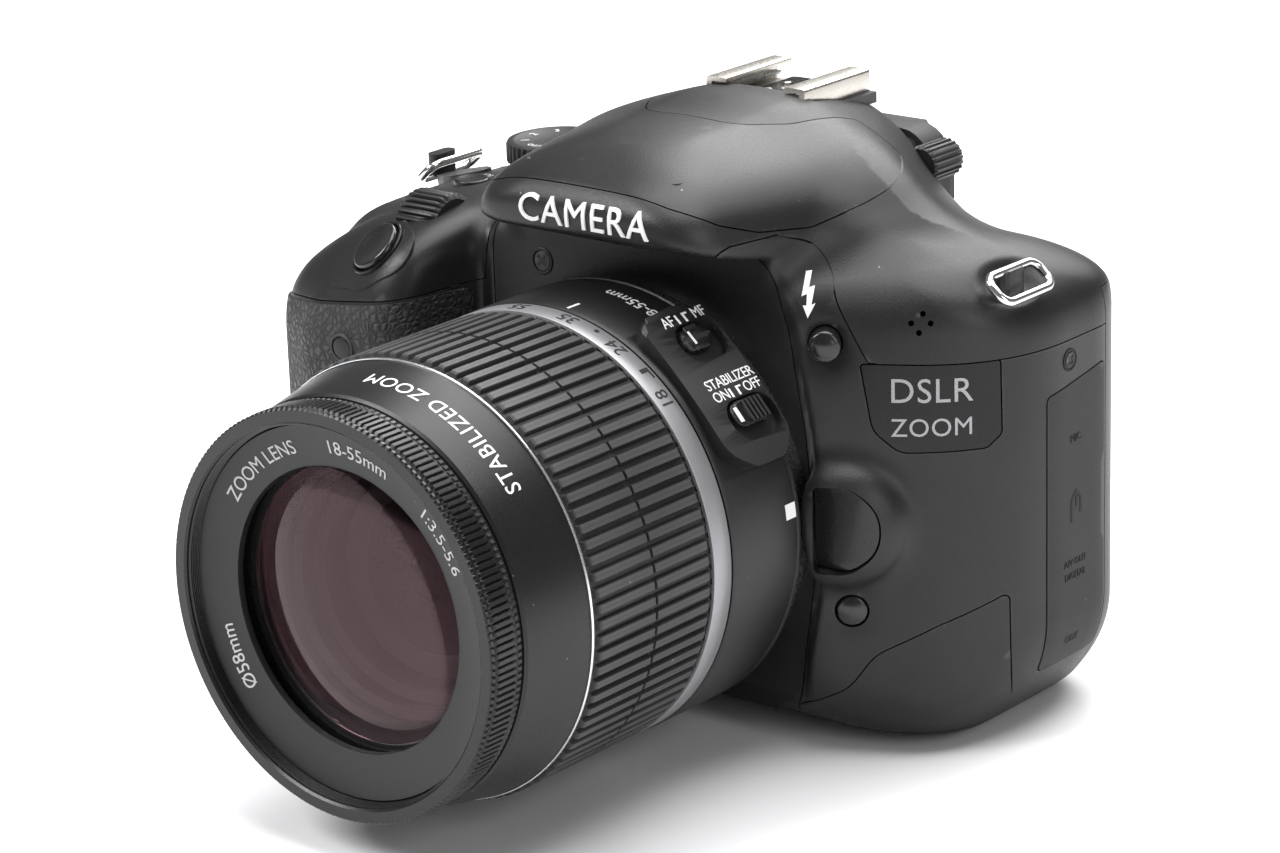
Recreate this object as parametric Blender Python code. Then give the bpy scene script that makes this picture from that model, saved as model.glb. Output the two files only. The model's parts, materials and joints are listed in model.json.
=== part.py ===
"""Digital single-lens reflex camera with a standard zoom lens, as separate named pieces.

The camera stands on its base. All lengths below are millimetres, in the lens frame: the origin is the
centre of the lens flange, +X is the side with the sockets, +Y is the back and +Z is up. The empty
"lens_frame" moves that frame so that the world origin is the centre of the base of the whole camera.
"""

import math

import bmesh
import bpy
from mathutils import Matrix, Vector

MM = 0.001
GAP = 0.3  # clearance between pieces that touch on the real camera
WALL = 2.2  # thickness of the moulded covers

# Driving dimensions of the body.
BASE_Z = -38.5
DECK_Z = 40.0
LEFT_X = -66.0
RIGHT_X = 58.8
REAR_Y = 55.0
GRIP_LEFT_X = -70.0
GRIP_FRONT_Y = -14.0
HUMP_TOP_Z = 56.5
NOSE_Y = -13.0
SPLIT_Y = 46.0  # the front and rear covers meet here
BOTTOM_SPLIT_Z = -35.5
REAR_SPLIT_Z = 31.0  # top of the rear cover
EYECUP_Y = 61.3

# Driving dimensions of the lens.
FRONT_Y = -70.1
BARREL_R = 35.0
ZOOM_R = 34.8
TRIM_Y = -50.8  # where the zoom ring meets the front tube
BARREL_FRONT_Y = -19.0
FOCUS_Y = -63.0  # where the front tube meets the focus ring
THROAT_R = 27.0
GLASS_R = 21.6

FLASH_HINGE = (0.0, 36.3, 56.8)
SHUTTER_CENTRE = (-46.0, -7.2, 34.2)
SHUTTER_NORMAL = (-0.295, -0.624, 0.724)
EYEPIECE_Z = 40.0
KEY_CENTRE = (-42.0, -3.0)


# ---------------------------------------------------------------- scene and materials


def clear_scene():
    for obj in list(bpy.data.objects):
        bpy.data.objects.remove(obj, do_unlink=True)


def make_material(name, colour, roughness, metallic=0.0):
    material = bpy.data.materials.new(name)
    material.use_nodes = True
    shader = material.node_tree.nodes["Principled BSDF"]
    shader.inputs["Base Color"].default_value = (*colour, 1.0)
    shader.inputs["Roughness"].default_value = roughness
    shader.inputs["Metallic"].default_value = metallic
    material.diffuse_color = (*colour, 1.0)
    return material


def make_materials():
    return {
        "shell": make_material("body_plastic", (0.020, 0.020, 0.021), 0.48),
        "grip": make_material("grip_rubber", (0.016, 0.016, 0.016), 0.75),
        "gloss": make_material("gloss_black", (0.008, 0.008, 0.009), 0.12),
        "button": make_material("button_plastic", (0.022, 0.022, 0.023), 0.35),
        "lens": make_material("lens_plastic", (0.014, 0.014, 0.015), 0.42),
        "ribbed": make_material("lens_rubber", (0.012, 0.012, 0.012), 0.70),
        "glass": make_material("coated_glass", (0.05, 0.02, 0.04), 0.03),
        "nickel": make_material("nickel", (0.72, 0.70, 0.66), 0.25, 1.0),
        "steel": make_material("stainless_steel", (0.55, 0.55, 0.56), 0.30, 1.0),
        "alloy": make_material("frame_alloy", (0.30, 0.30, 0.31), 0.50, 1.0),
        "board": make_material("circuit_board", (0.02, 0.10, 0.05), 0.50),
        "mirror": make_material("mirror_glass", (0.85, 0.87, 0.90), 0.03, 1.0),
        "label": make_material("grey_plastic", (0.20, 0.20, 0.21), 0.45),
    }


# ---------------------------------------------------------------- outlines


def rounded_outline(corners, inset=0.0, steps=5):
    """A polygon, counter-clockwise, with each (u, v, radius) corner rounded, moved inwards by inset."""
    count = len(corners)
    points = [Vector(corner[:2]) for corner in corners]
    moved = []
    for i in range(count):
        before = (points[i] - points[i - 1]).normalized()
        after = (points[(i + 1) % count] - points[i]).normalized()
        turn = before.cross(after)
        inward = Vector((-before.y, before.x)) + Vector((-after.y, after.x))
        inward.normalize()
        reach = inset / max(0.2, inward.dot(Vector((-before.y, before.x))))
        moved.append((points[i] + inward * reach, before, after, turn))
    outline = []
    for (corner, before, after, turn), (_, _, radius) in zip(moved, corners):
        radius = max(0.2, radius - inset if turn > 0 else radius + inset)
        angle = abs(before.angle(after))
        reach = radius * math.tan(angle / 2)
        side = 1 if turn > 0 else -1
        centre = corner - before * reach + Vector((-before.y, before.x)) * radius * side
        first = math.atan2(*reversed(corner - before * reach - centre))
        for k in range(steps + 1):
            theta = first + side * angle * k / steps
            outline.append(centre + radius * Vector((math.cos(theta), math.sin(theta))))
    return [tuple(point) for point in outline]


def rectangle(u0, u1, v0, v1):
    return [(u0, v0), (u1, v0), (u1, v1), (u0, v1)]


BODY_CORNERS = [
    (LEFT_X, 5.0, 5.0),
    (-34.0, 5.0, 3.0),
    (-31.5, 1.2, 3.0),
    (33.0, 1.2, 8.0),
    (RIGHT_X, 18.5, 8.0),
    (RIGHT_X, REAR_Y, 8.0),
    (LEFT_X, REAR_Y, 10.0),
]
GRIP_CORNERS = [
    (GRIP_LEFT_X, -7.0, 9.0),
    (-55.0, GRIP_FRONT_Y, 12.0),
    (-38.0, GRIP_FRONT_Y + 1.0, 8.0),
    (-30.5, 8.0, 2.0),
    (-30.5, 30.0, 2.0),
    (LEFT_X + 3.0, 32.0, 2.0),
    (GRIP_LEFT_X, 22.0, 9.0),
]


# ---------------------------------------------------------------- shapes, in millimetres


def prism(outline, axis, low, high, bevel=0.0, ends=("low", "high")):
    """An outline extruded along axis X, Y or Z, with the rims of the chosen ends bevelled."""
    place = {
        "X": lambda u, v, w: (w, u, v),
        "Y": lambda u, v, w: (u, w, v),
        "Z": lambda u, v, w: (u, v, w),
    }[axis]
    bm = bmesh.new()
    rims = {}
    for end, w in (("low", low), ("high", high)):
        rims[end] = [bm.verts.new(place(u, v, w)) for u, v in outline]
    caps = {end: bm.faces.new(rim) for end, rim in rims.items()}
    count = len(outline)
    for i in range(count):
        j = (i + 1) % count
        bm.faces.new((rims["low"][i], rims["low"][j], rims["high"][j], rims["high"][i]))
    bmesh.ops.recalc_face_normals(bm, faces=bm.faces)
    if bevel:
        edges = [edge for end in ends for edge in caps[end].edges]
        bmesh.ops.bevel(bm, geom=edges, offset=bevel, segments=2, profile=0.5, affect="EDGES")
    return bm


def box(x0, x1, y0, y1, z0, z1, bevel=0.0):
    bm = prism(rectangle(x0, x1, y0, y1), "Z", z0, z1)
    if bevel:
        bmesh.ops.bevel(bm, geom=bm.edges[:], offset=bevel, segments=1, affect="EDGES")
    return bm


def turned(profile, segments=36):
    """A closed (radius, y) profile turned about the Y axis; a point at radius 0 lies on the axis."""
    bm = bmesh.new()
    rings = []
    for radius, y in profile:
        if radius < 1e-6:
            rings.append([bm.verts.new((0, y, 0))])
            continue
        angles = [2 * math.pi * k / segments for k in range(segments)]
        rings.append([bm.verts.new((radius * math.cos(a), y, radius * math.sin(a))) for a in angles])
    for i, ring in enumerate(rings):
        following = rings[(i + 1) % len(rings)]
        if len(ring) == 1 and len(following) == 1:
            continue
        for k in range(segments):
            m = (k + 1) % segments
            corners = [ring[k % len(ring)], ring[m % len(ring)], following[m % len(following)]]
            corners.append(following[k % len(following)])
            bm.faces.new(dict.fromkeys(corners))
    bmesh.ops.recalc_face_normals(bm, faces=bm.faces)
    return bm


def disc(centre, direction, radius, length, segments=20, bevel=0.0, inner=0.0):
    """A round plug whose back is at centre and which stands out by length along direction."""
    profile = [(inner, 0.0), (radius, 0.0), (radius, length - bevel)]
    if bevel:
        profile.append((radius - bevel, length))
    profile.append((inner, length))
    bm = turned(profile, segments)
    turn = Vector((0, 1, 0)).rotation_difference(Vector(direction)).to_matrix().to_4x4()
    bmesh.ops.transform(bm, matrix=Matrix.Translation(centre) @ turn, verts=bm.verts)
    return bm


def around_lens(bm, degrees):
    """Turns a shape made above the lens axis clockwise about it, as seen from the front."""
    bmesh.ops.rotate(bm, matrix=Matrix.Rotation(math.radians(degrees), 3, "Y"), verts=bm.verts)
    return bm


def loft(levels):
    """A closed skin through (z, outline) levels with equal point counts."""
    bm = bmesh.new()
    rings = [[bm.verts.new((x, y, z)) for x, y in outline] for z, outline in levels]
    bm.faces.new(rings[0])
    bm.faces.new(rings[-1])
    for low, high in zip(rings, rings[1:]):
        for k in range(len(low)):
            m = (k + 1) % len(low)
            bm.faces.new((low[k], low[m], high[m], high[k]))
    bmesh.ops.triangulate(bm, faces=bm.faces)
    bmesh.ops.recalc_face_normals(bm, faces=bm.faces)
    return bm


# ---------------------------------------------------------------- objects


class Model:
    """Makes the objects, all under the lens frame's empty."""

    def __init__(self):
        clear_scene()
        self.materials = make_materials()
        self.frame = bpy.data.objects.new("lens_frame", None)
        middle_x = (GRIP_LEFT_X + RIGHT_X) / 2
        middle_y = (FRONT_Y + EYECUP_Y) / 2
        self.frame.location = Vector((-middle_x, -middle_y, -BASE_Z)) * MM
        bpy.context.scene.collection.objects.link(self.frame)

    def link(self, name, bm, pivot):
        bmesh.ops.translate(bm, vec=-Vector(pivot), verts=bm.verts)
        bmesh.ops.scale(bm, vec=(MM, MM, MM), verts=bm.verts)
        mesh = bpy.data.meshes.new(name)
        bm.to_mesh(mesh)
        bm.free()
        mesh.shade_smooth()
        mesh.set_sharp_from_angle(angle=math.radians(35))
        obj = bpy.data.objects.new(name, mesh)
        bpy.context.scene.collection.objects.link(obj)
        obj.parent = self.frame
        obj.location = Vector(pivot) * MM
        return obj

    def piece(self, name, bm, material, pivot=(0, 0, 0)):
        """One sub-part; its origin is at pivot, which lies on its joint's axis if it moves."""
        obj = self.link(name, bm, pivot)
        obj.data.materials.append(self.materials[material])
        return obj

    def tool(self, name, bm):
        obj = self.link(name, bm, (0, 0, 0))
        obj.hide_render = True
        obj.display_type = "WIRE"
        return obj


def combine(obj, tool, operation):
    modifier = obj.modifiers.new(tool.name, "BOOLEAN")
    modifier.operation = operation
    modifier.object = tool
    modifier.solver = obj.get("solver", "EXACT")
    return obj


def moulded(obj):
    """Marks a piece of the curved shell, whose many-sided walls the exact solver can't close."""
    obj["solver"] = "MANIFOLD"
    return obj


def cut(obj, *tools):
    for tool in tools:
        combine(obj, tool, "DIFFERENCE")
    return obj


# ---------------------------------------------------------------- body envelope


def body_block(inset=0.0):
    """The main box of the body, with the rims of its deck and base rounded off in steps."""
    steps = [(BASE_Z, 2.5), (BASE_Z + 0.8, 0.8), (BASE_Z + 2.5, 0.0), (DECK_Z - 5.5, 0.0)]
    steps += [(DECK_Z - 2.6, 0.8), (DECK_Z - 0.8, 2.6), (DECK_Z, 5.5)]
    levels = []
    for z, shrink in steps:
        z = min(max(z, BASE_Z + inset), DECK_Z - inset)
        if levels and z - levels[-1][0] < 0.1:
            z = levels[-1][0] + 0.1
        levels.append((z, rounded_outline(BODY_CORNERS, inset + shrink)))
    return loft(levels)


def grip_plan(inset=0.0, low=BASE_Z, high=DECK_Z):
    return prism(rounded_outline(GRIP_CORNERS, inset), "Z", low, high)


def grip_side(inset=0.0):
    """Side view of the grip: its top slopes down to the front, under the shutter button."""
    corners = [
        (60.0, BASE_Z, 1.0),
        (60.0, DECK_Z, 1.0),
        (3.0, DECK_Z, 5.0),
        (GRIP_FRONT_Y + 1.5, 27.5, 3.0),
        (GRIP_FRONT_Y - 3.0, 18.0, 3.0),
        (GRIP_FRONT_Y - 3.0, BASE_Z, 1.0),
    ]
    outline = rounded_outline(corners, inset, 3)
    return prism(outline, "X", -80.0, -20.0)


def hump_levels(inset=0.0):
    """Plan outlines of the viewfinder hump: (z, front y, front half width, rear y, rear half width)."""
    sections = [
        (30.0, 2.5, 26.0, REAR_Y - 0.6, 34.0),
        (37.0, 0.8, 25.0, REAR_Y - 0.6, 32.5),
        (42.0, -9.0, 22.5, REAR_Y - 0.7, 31.8),
        (44.5, NOSE_Y + 0.4, 21.0, REAR_Y - 0.9, 32.5),
        (48.0, NOSE_Y + 0.4, 20.5, REAR_Y - 1.2, 33.5),
        (53.0, NOSE_Y + 1.4, 17.0, REAR_Y - 2.5, 26.0),
        (HUMP_TOP_Z - inset, 3.0 + inset, 12.0, REAR_Y - 4.5, 15.5),
    ]
    levels = []
    for z, front, front_half, rear, rear_half in sections:
        corners = [
            (-front_half, front, 6.0),
            (front_half, front, 6.0),
            (rear_half, 28.0, 8.0),
            (rear_half - 1.0, rear, 6.0),
            (-rear_half + 1.0, rear, 6.0),
            (-rear_half, 28.0, 8.0),
        ]
        levels.append((z, rounded_outline(corners, inset, 3)))
    return levels


def envelope(model, name, inset):
    """The body's outer form, or with an inset the space inside its walls."""
    body = moulded(model.tool(name, body_block(inset)))
    grip = model.tool(name + "_grip", grip_plan(inset, BASE_Z + inset, DECK_Z - inset))
    combine(grip, model.tool(name + "_grip_side", grip_side(inset)), "INTERSECT")
    hump = model.tool(name + "_hump", loft(hump_levels(inset)))
    combine(body, grip, "UNION")
    combine(body, hump, "UNION")
    return body


def top_line(shift):
    """The seam between the front and top covers, seen from the front, moved up by shift."""
    heights = [(-90, 26.5), (-33, 26.5), (-27, 40.5), (33.5, 40.5), (44.5, 25.5), (90, 25.5)]
    return [(x, z + shift) for x, z in heights]


def cover_regions(model):
    """Blocks that say which part of the envelope's wall belongs to which cover."""
    top_outline = top_line(GAP / 2) + [(90, 90), (-90, 90)]
    front_outline = [(-90, BOTTOM_SPLIT_Z + GAP / 2), (90, BOTTOM_SPLIT_Z + GAP / 2)]
    front_outline += top_line(-GAP / 2)[::-1]
    top = model.tool("top_region", prism(top_outline, "Y", -30, SPLIT_Y - GAP / 2))
    back = model.tool("top_region_back", box(-90, 90, SPLIT_Y - GAP, 90, REAR_SPLIT_Z + GAP / 2, 90))
    combine(top, back, "UNION")
    return {
        "top": top,
        "front": model.tool("front_region", prism(front_outline, "Y", -30, SPLIT_Y - 1.5 * GAP)),
        "rear": model.tool(
            "rear_region",
            box(-90, 90, SPLIT_Y + GAP / 2, 90, BOTTOM_SPLIT_Z + GAP / 2, REAR_SPLIT_Z - GAP / 2),
        ),
        "bottom": model.tool("bottom_region", box(-90, 90, -30, 90, -60, BOTTOM_SPLIT_Z - GAP / 2)),
    }


def cover(model, name, region, outer, inner):
    """One moulded cover: the region's share of the wall between the outer and inner forms."""
    obj = moulded(model.piece(name, box(-80, 80, -25, 70, -45, 65), "shell"))
    combine(obj, region, "INTERSECT")
    combine(obj, outer, "INTERSECT")
    return cut(obj, inner)


def lid_block(grow=0.0):
    """Side view of the flash lid's space: it rises from the nose and ends at the shoe's platform."""
    outline = [
        (NOSE_Y - 9, 53.6 - grow),
        (-8.5 - grow, 53.6 - grow),
        (-3.0 - grow, 47.5 - grow),
        (36.0 + grow, 47.5 - grow),
        (36.0 + grow, 70.0),
        (NOSE_Y - 9, 70.0),
    ]
    return prism(outline, "X", -60, 60)


def shoe_platform(grow=0.0):
    """The fixed platform under the hot shoe; its front leans back, so that the lid can swing past it."""
    outline = [(16.0 - grow, 46.0), (22.8 - grow, 58.0), (29.0 - grow, 70.0), (80.0, 70.0), (80.0, 46.0)]
    return prism(outline, "X", -13.5 - grow, 13.5 + grow)


# ---------------------------------------------------------------- body pieces


def make_covers(model):
    outer = envelope(model, "outer_form", 0.0)
    inner = envelope(model, "inner_form", WALL)
    cut(inner, model.tool("shoe_bed", box(-13.2, 13.2, 30.5, 80, 51.6, 80)))
    regions = cover_regions(model)
    front = cover(model, "front_cover", regions["front"], outer, inner)
    top = cover(model, "top_cover", regions["top"], outer, inner)
    rear = cover(model, "rear_cover", regions["rear"], outer, inner)
    bottom = cover(model, "bottom_cover", regions["bottom"], outer, inner)
    return {"front": front, "top": top, "rear": rear, "bottom": bottom, "outer": outer, "inner": inner}


def make_flash(model, covers):
    """The pop-up flash: a lid over the nose with a lamp case under it, hinged beside the hot shoe."""
    opening = model.tool("lid_opening", lid_block(GAP))
    cut(opening, model.tool("lid_platform", shoe_platform(0.0)))
    cut(covers["top"], opening)
    lid = moulded(model.piece("flash_head", box(-50, 50, -25, 60, 45, 65), "shell", FLASH_HINGE))
    combine(lid, model.tool("lid_region", lid_block()), "INTERSECT")
    combine(lid, covers["outer"], "INTERSECT")
    cut(lid, model.tool("lid_platform_gap", shoe_platform(GAP)), covers["inner"])
    case = box(-15.5, 15.5, -6.2, 6.0, 42.0, 56.0, 1.0)
    case_tool = moulded(model.tool("lamp_case", case))
    combine(case_tool, covers["outer"], "INTERSECT")
    combine(lid, case_tool, "UNION")
    cut(lid, model.tool("lamp_recess", box(-12.5, 12.5, -5.0, 4.0, 40.0, 43.4)))
    model.piece("flash_window", box(-12.2, 12.2, -4.7, 3.7, 41.6, 43.1), "glass", FLASH_HINGE)


def make_mount(model, covers):
    cut(covers["front"], model.tool("mount_hole", disc((0, -20, 0), (0, 1, 0), 32.6, 26.0, 48)))
    ring = [(THROAT_R, 0.0), (32.0, 0.0), (32.3, 0.3), (32.3, 3.2), (THROAT_R, 3.2)]
    model.piece("body_mount_ring", turned(ring, 48), "steel")
    frame = model.piece("mirror_box", box(-21, 21, 5.0, 36, -20, 20), "alloy")
    plate = prism(rounded_outline([(-29, -33, 6), (29, -33, 6), (29, 33, 6), (-29, 33, 6)]), "Y", 3.7, 6.0)
    combine(frame, model.tool("mirror_box_plate", plate), "UNION")
    cut(frame, model.tool("mirror_box_throat", disc((0, -10, 0), (0, 1, 0), 26.0, 15.5, 32)))
    cut(frame, model.tool("mirror_box_tunnel", box(-17.5, 17.5, 5.2, 50, -17, 17)))
    cut(frame, model.tool("mirror_box_top", box(-15, 15, 8, 34, 10, 30)))


def make_mirror(model):
    """The reflex mirror lies at 45 degrees and hinges at its upper rear edge."""
    hinge_y, hinge_z, length, thickness = 34.3, 11.8, 27.0, 1.6
    half = thickness * math.sqrt(0.5)
    reach = length * math.sqrt(0.5)
    outline = [
        (hinge_y, hinge_z),
        (hinge_y - reach, hinge_z - reach),
        (hinge_y - reach + half, hinge_z - reach - half),
        (hinge_y + half, hinge_z - half),
    ]
    model.piece("reflex_mirror", prism(outline, "X", -14.5, 14.5), "mirror", (0, hinge_y, hinge_z))


def make_viewfinder(model, covers):
    model.piece("focusing_screen", box(-14.6, 14.6, 8.4, 33.6, 17.6, 19.4), "glass")
    profile = [(8.6, 20.4), (38.5, 20.4), (42.0, 30.0), (41.0, 45.0), (33.0, 47.5), (13.0, 40.0)]
    model.piece("pentamirror", prism(profile, "X", -17, 17, 3.0), "alloy")
    z = EYEPIECE_Z
    frame = rounded_outline([(-17, z - 9, 5), (17, z - 9, 5), (17, z + 9, 5), (-17, z + 9, 5)])
    corners = [(-9.5, z - 5.5, 2), (9.5, z - 5.5, 2), (9.5, z + 5.5, 2), (-9.5, z + 5.5, 2)]
    window = rounded_outline(corners, steps=3)
    cup = prism(frame, "Y", REAR_Y + GAP, EYECUP_Y, 1.5, ("high",))
    cup = model.piece("eyecup", cup, "grip")
    cut(cup, model.tool("eyecup_window", prism(window, "Y", 40, 80)))
    opening = model.tool("eyepiece_opening", prism(window, "Y", 44, 80))
    cut(covers["top"], opening)
    model.piece("eyepiece_lens", box(-9.0, 9.0, 47.0, 51.0, z - 5, z + 5, 0.8), "glass")
    knob = disc((20.5, 50.0, z + 4.5), (0, 1, 0), 3.2, 8.0, 16, 0.6)
    cut(covers["top"], model.tool("diopter_hole", disc((20.5, 45.0, z + 4.5), (0, 1, 0), 3.5, 20.0, 16)))
    model.piece("diopter_knob", knob, "button", (20.5, 50.0, z + 4.5))


def make_inside(model):
    shutter = model.piece("shutter_unit", box(-20, 20, 37.0, 40.5, -18.5, 18.5), "alloy")
    cut(shutter, model.tool("shutter_gate", box(-12.5, 12.5, 30, 38.2, -8.5, 8.5)))
    model.piece("image_sensor", box(-14, 14, 42.0, 44.5, -11, 11, 0.4), "glass")
    model.piece("main_board", box(-29, 50, 46.5, 48.1, -31, 24), "board")
    model.piece("battery", box(-62.5, -47.1, -7.0, 29.0, -35.6, 17.0, 1.0), "label")
    model.piece("memory_card", box(-62.8, -31.0, 40.0, 42.1, -13, 11), "label")


def make_shoe(model, covers):
    """The hot shoe: a nickel channel with two lipped rails, in a bed in the top cover."""
    front, rear, floor, top = 33.5, 51.0, 54.4, 59.0
    cut(covers["top"], model.tool("shoe_recess", box(-10.9, 10.9, front - 0.4, 80, floor - 0.5, 80)))
    channel = [
        (-10.5, floor - 0.2),
        (10.5, floor - 0.2),
        (10.5, top),
        (6.4, top),
        (6.4, top - 1.6),
        (9.4, top - 1.6),
        (9.4, floor + 0.3),
        (-9.4, floor + 0.3),
        (-9.4, top - 1.6),
        (-6.4, top - 1.6),
        (-6.4, top),
        (-10.5, top),
    ]
    model.piece("hot_shoe", prism(channel, "Y", front, rear), "nickel")


def make_tripod_socket(model, covers):
    outer, hole, top = 6.0, 3.15, BASE_Z + 8.0
    cut(covers["bottom"], model.tool("socket_hole", disc((0, 26, -50), (0, 0, 1), outer + GAP, 18.0, 24)))
    socket = model.piece("tripod_socket", disc((0, 26, BASE_Z), (0, 0, 1), outer, top - BASE_Z, 24), "steel")
    cut(socket, model.tool("socket_bore", disc((0, 26, -50), (0, 0, 1), hole, 17.5, 16)))


def make_lugs(model, covers):
    """A chrome wire loop for the strap at each shoulder, standing in a small pocket."""
    outer = rounded_outline([(-3.2, -8.5, 2.8), (3.2, -8.5, 2.8), (3.2, 8.5, 2.8), (-3.2, 8.5, 2.8)], 0, 3)
    inner = rounded_outline([(-1.3, -6.6, 1.2), (1.3, -6.6, 1.2), (1.3, 6.6, 1.2), (-1.3, 6.6, 1.2)], 0, 3)
    wide = [(u * 1.55, v * 1.12) for u, v in outer]
    for name, centre, tilt in (
        ("strap_lug_right", (55.2, 27.0, 36.2), 42),
        ("strap_lug_left", (-64.4, 29.0, 35.6), -42),
    ):
        place = Matrix.Translation(centre) @ Matrix.Rotation(math.radians(tilt), 4, "Y")
        loop = prism(outer, "Z", -1.0, 1.0)
        slot = prism(inner, "Z", -4.0, 4.0)
        pocket = prism(wide, "Z", -2.2, 9.0)
        for shape in (loop, slot, pocket):
            bmesh.ops.transform(shape, matrix=place, verts=shape.verts)
        cut(model.piece(name, loop, "steel"), model.tool(name + "_slot", slot))
        pocket_tool = model.tool(name + "_pocket", pocket)
        cut(covers["top"], pocket_tool)
        cut(covers["front"], pocket_tool)


def make_grip_rubber(model, covers):
    """The leatherette wrap: a 1 mm skin let into the grip, below the shutter button."""
    low, high = -32.0, 25.5
    skin = model.piece("grip_rubber", grip_plan(0.0, low, high), "grip")
    window = box(-90, -34.0, -40, 24.0, low - 5, high + 5)
    combine(skin, model.tool("grip_window", window), "INTERSECT")
    combine(skin, model.tool("grip_skin_side", grip_side(0.0)), "INTERSECT")
    cut(skin, model.tool("grip_skin_inside", grip_plan(1.0, low - 2, high + 2)))
    rebate = model.tool("grip_rebate", box(-90, -33.7, -40, 24.3, low - GAP, high + GAP))
    cut(rebate, model.tool("grip_core", grip_plan(1.3, low - 5, high + 5)))
    cut(rebate, model.tool("grip_core_body", box(-60, -20, 2.0, 80, low - 5, high + 5)))
    cut(covers["front"], rebate)


def slope_frame(along, height, depth=0.0):
    """A point on the slanted front at the sockets' side: along it, up, and depth inwards."""
    start, end = Vector((33.0, 1.2)), Vector((RIGHT_X, 18.5))
    run = (end - start).normalized()
    inward = Vector((-run.y, run.x))
    spot = start + run * along + inward * depth
    return (spot.x, spot.y, height), (run.y, -run.x, 0.0)


def slope_slab(along0, along1, z0, z1, depth0, depth1):
    corners = [(along0, depth0), (along1, depth0), (along1, depth1), (along0, depth1)]
    return prism([slope_frame(along, 0, depth)[0][:2] for along, depth in corners], "Z", z0, z1)


def make_badge(model, covers):
    cut(covers["front"], model.tool("badge_recess", slope_slab(8.7, 26.3, 11.5, 25.1, -6.0, 1.3)))
    model.piece("badge_plate", slope_slab(9.0, 26.0, 11.8, 24.8, 0.1, 1.0), "gloss")


def make_screen(model, covers):
    """The rear display: a glass-fronted module let into the rear cover."""
    frame = rounded_outline([(-21, -31, 2), (47, -31, 2), (47, 14, 2), (-21, 14, 2)], -GAP, 2)
    glass = rounded_outline([(-21, -31, 2), (47, -31, 2), (47, 14, 2), (-21, 14, 2)], 0, 2)
    cut(covers["rear"], model.tool("screen_opening", prism(frame, "Y", 50, 80)))
    model.piece("lcd_screen", prism(glass, "Y", 50.0, REAR_Y + 2.5, 0.6, ("high",)), "gloss")


# ---------------------------------------------------------------- buttons, dials and doors


def make_button(model, name, cover, centre, direction, radius, travel, sink=4.0, proud=0.9, segments=16):
    """A round push button in a clearance hole; its back is sink under the surface point centre."""
    axis = Vector(direction).normalized()
    back = Vector(centre) - axis * sink
    hole = disc(back - axis * (travel + 3), axis, radius + GAP, sink + travel + 13, segments)
    cut(cover, model.tool(name + "_hole", hole))
    model.piece(name, disc(back, axis, radius, sink + proud, segments, 0.4), "button", back)


def make_buttons(model, covers):
    front, top, rear = covers["front"], covers["top"], covers["rear"]
    make_button(model, "shutter_button", top, SHUTTER_CENTRE, SHUTTER_NORMAL, 4.8, 0.8, 0.8, 1.8, 24)
    make_button(model, "iso_button", top, (-46.8, 17.0, DECK_Z), (0, 0, 1), 3.0, 0.8, 3.0, 0.8)
    spot, out = slope_frame(3.8, 28.0)
    make_button(model, "flash_button", front, spot, out, 2.7, 0.8, 3.2)
    spot, out = slope_frame(7.2, 0.5)
    make_button(model, "lens_release_button", front, spot, out, 6.0, 1.5, 3.2, 2.6, 24)
    spot, out = slope_frame(7.8, -13.5)
    make_button(model, "depth_preview_button", front, spot, out, 2.6, 0.8, 3.2)
    back = (0, 1, 0)
    for name, x, z, radius in (
        ("menu_button", 47.0, 22.0, 2.8),
        ("info_button", 36.0, 22.0, 2.8),
        ("live_view_button", -24.5, 24.5, 3.0),
        ("ae_lock_button", -47.0, 26.0, 2.8),
        ("af_point_button", -57.0, 25.0, 2.8),
        ("exposure_button", -28.5, 14.0, 2.6),
        ("quick_button", -38.0, 14.0, 2.6),
        ("set_button", KEY_CENTRE[0], KEY_CENTRE[1], 3.4),
        ("playback_button", -29.5, -20.0, 2.6),
        ("erase_button", -39.0, -24.0, 2.6),
    ):
        make_button(model, name, rear, (x, REAR_Y, z), back, radius, 0.8, 3.2)
    for name, dx, dz in (("up_key", 0, 8), ("down_key", 0, -8), ("left_key", 8, 0), ("right_key", -8, 0)):
        spot = (KEY_CENTRE[0] + dx, REAR_Y, KEY_CENTRE[1] + dz)
        make_button(model, name, rear, spot, back, 2.7, 0.8, 3.2)


def make_dials(model, covers):
    top = covers["top"]
    x, y, z = centre = (-43.5, 4.0, 35.6)
    radius, half_width = 6.0, 4.2
    wheel = disc((x - half_width, y, z), (1, 0, 0), radius, 2 * half_width, 24, 0.6)
    reach = radius + GAP
    slot = box(x - half_width - GAP, x + half_width + GAP, y - reach, y + reach, 32, 60)
    cut(top, model.tool("main_dial_slot", slot))
    model.piece("main_dial", wheel, "button", centre)
    mode = (-42.0, 34.0, DECK_Z + GAP)
    model.piece("mode_dial", disc(mode, (0, 0, 1), 9.0, 4.0, 32, 0.6), "button", mode)
    switch = (-56.5, 27.0, DECK_Z + GAP)
    lever = model.piece("power_switch", disc(switch, (0, 0, 1), 4.4, 1.8, 20, 0.4), "button", switch)
    tab = box(-62.5, -56.5, 26.0, 28.0, DECK_Z + GAP, DECK_Z + GAP + 2.4)
    combine(lever, model.tool("power_switch_tab", tab), "UNION")


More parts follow.
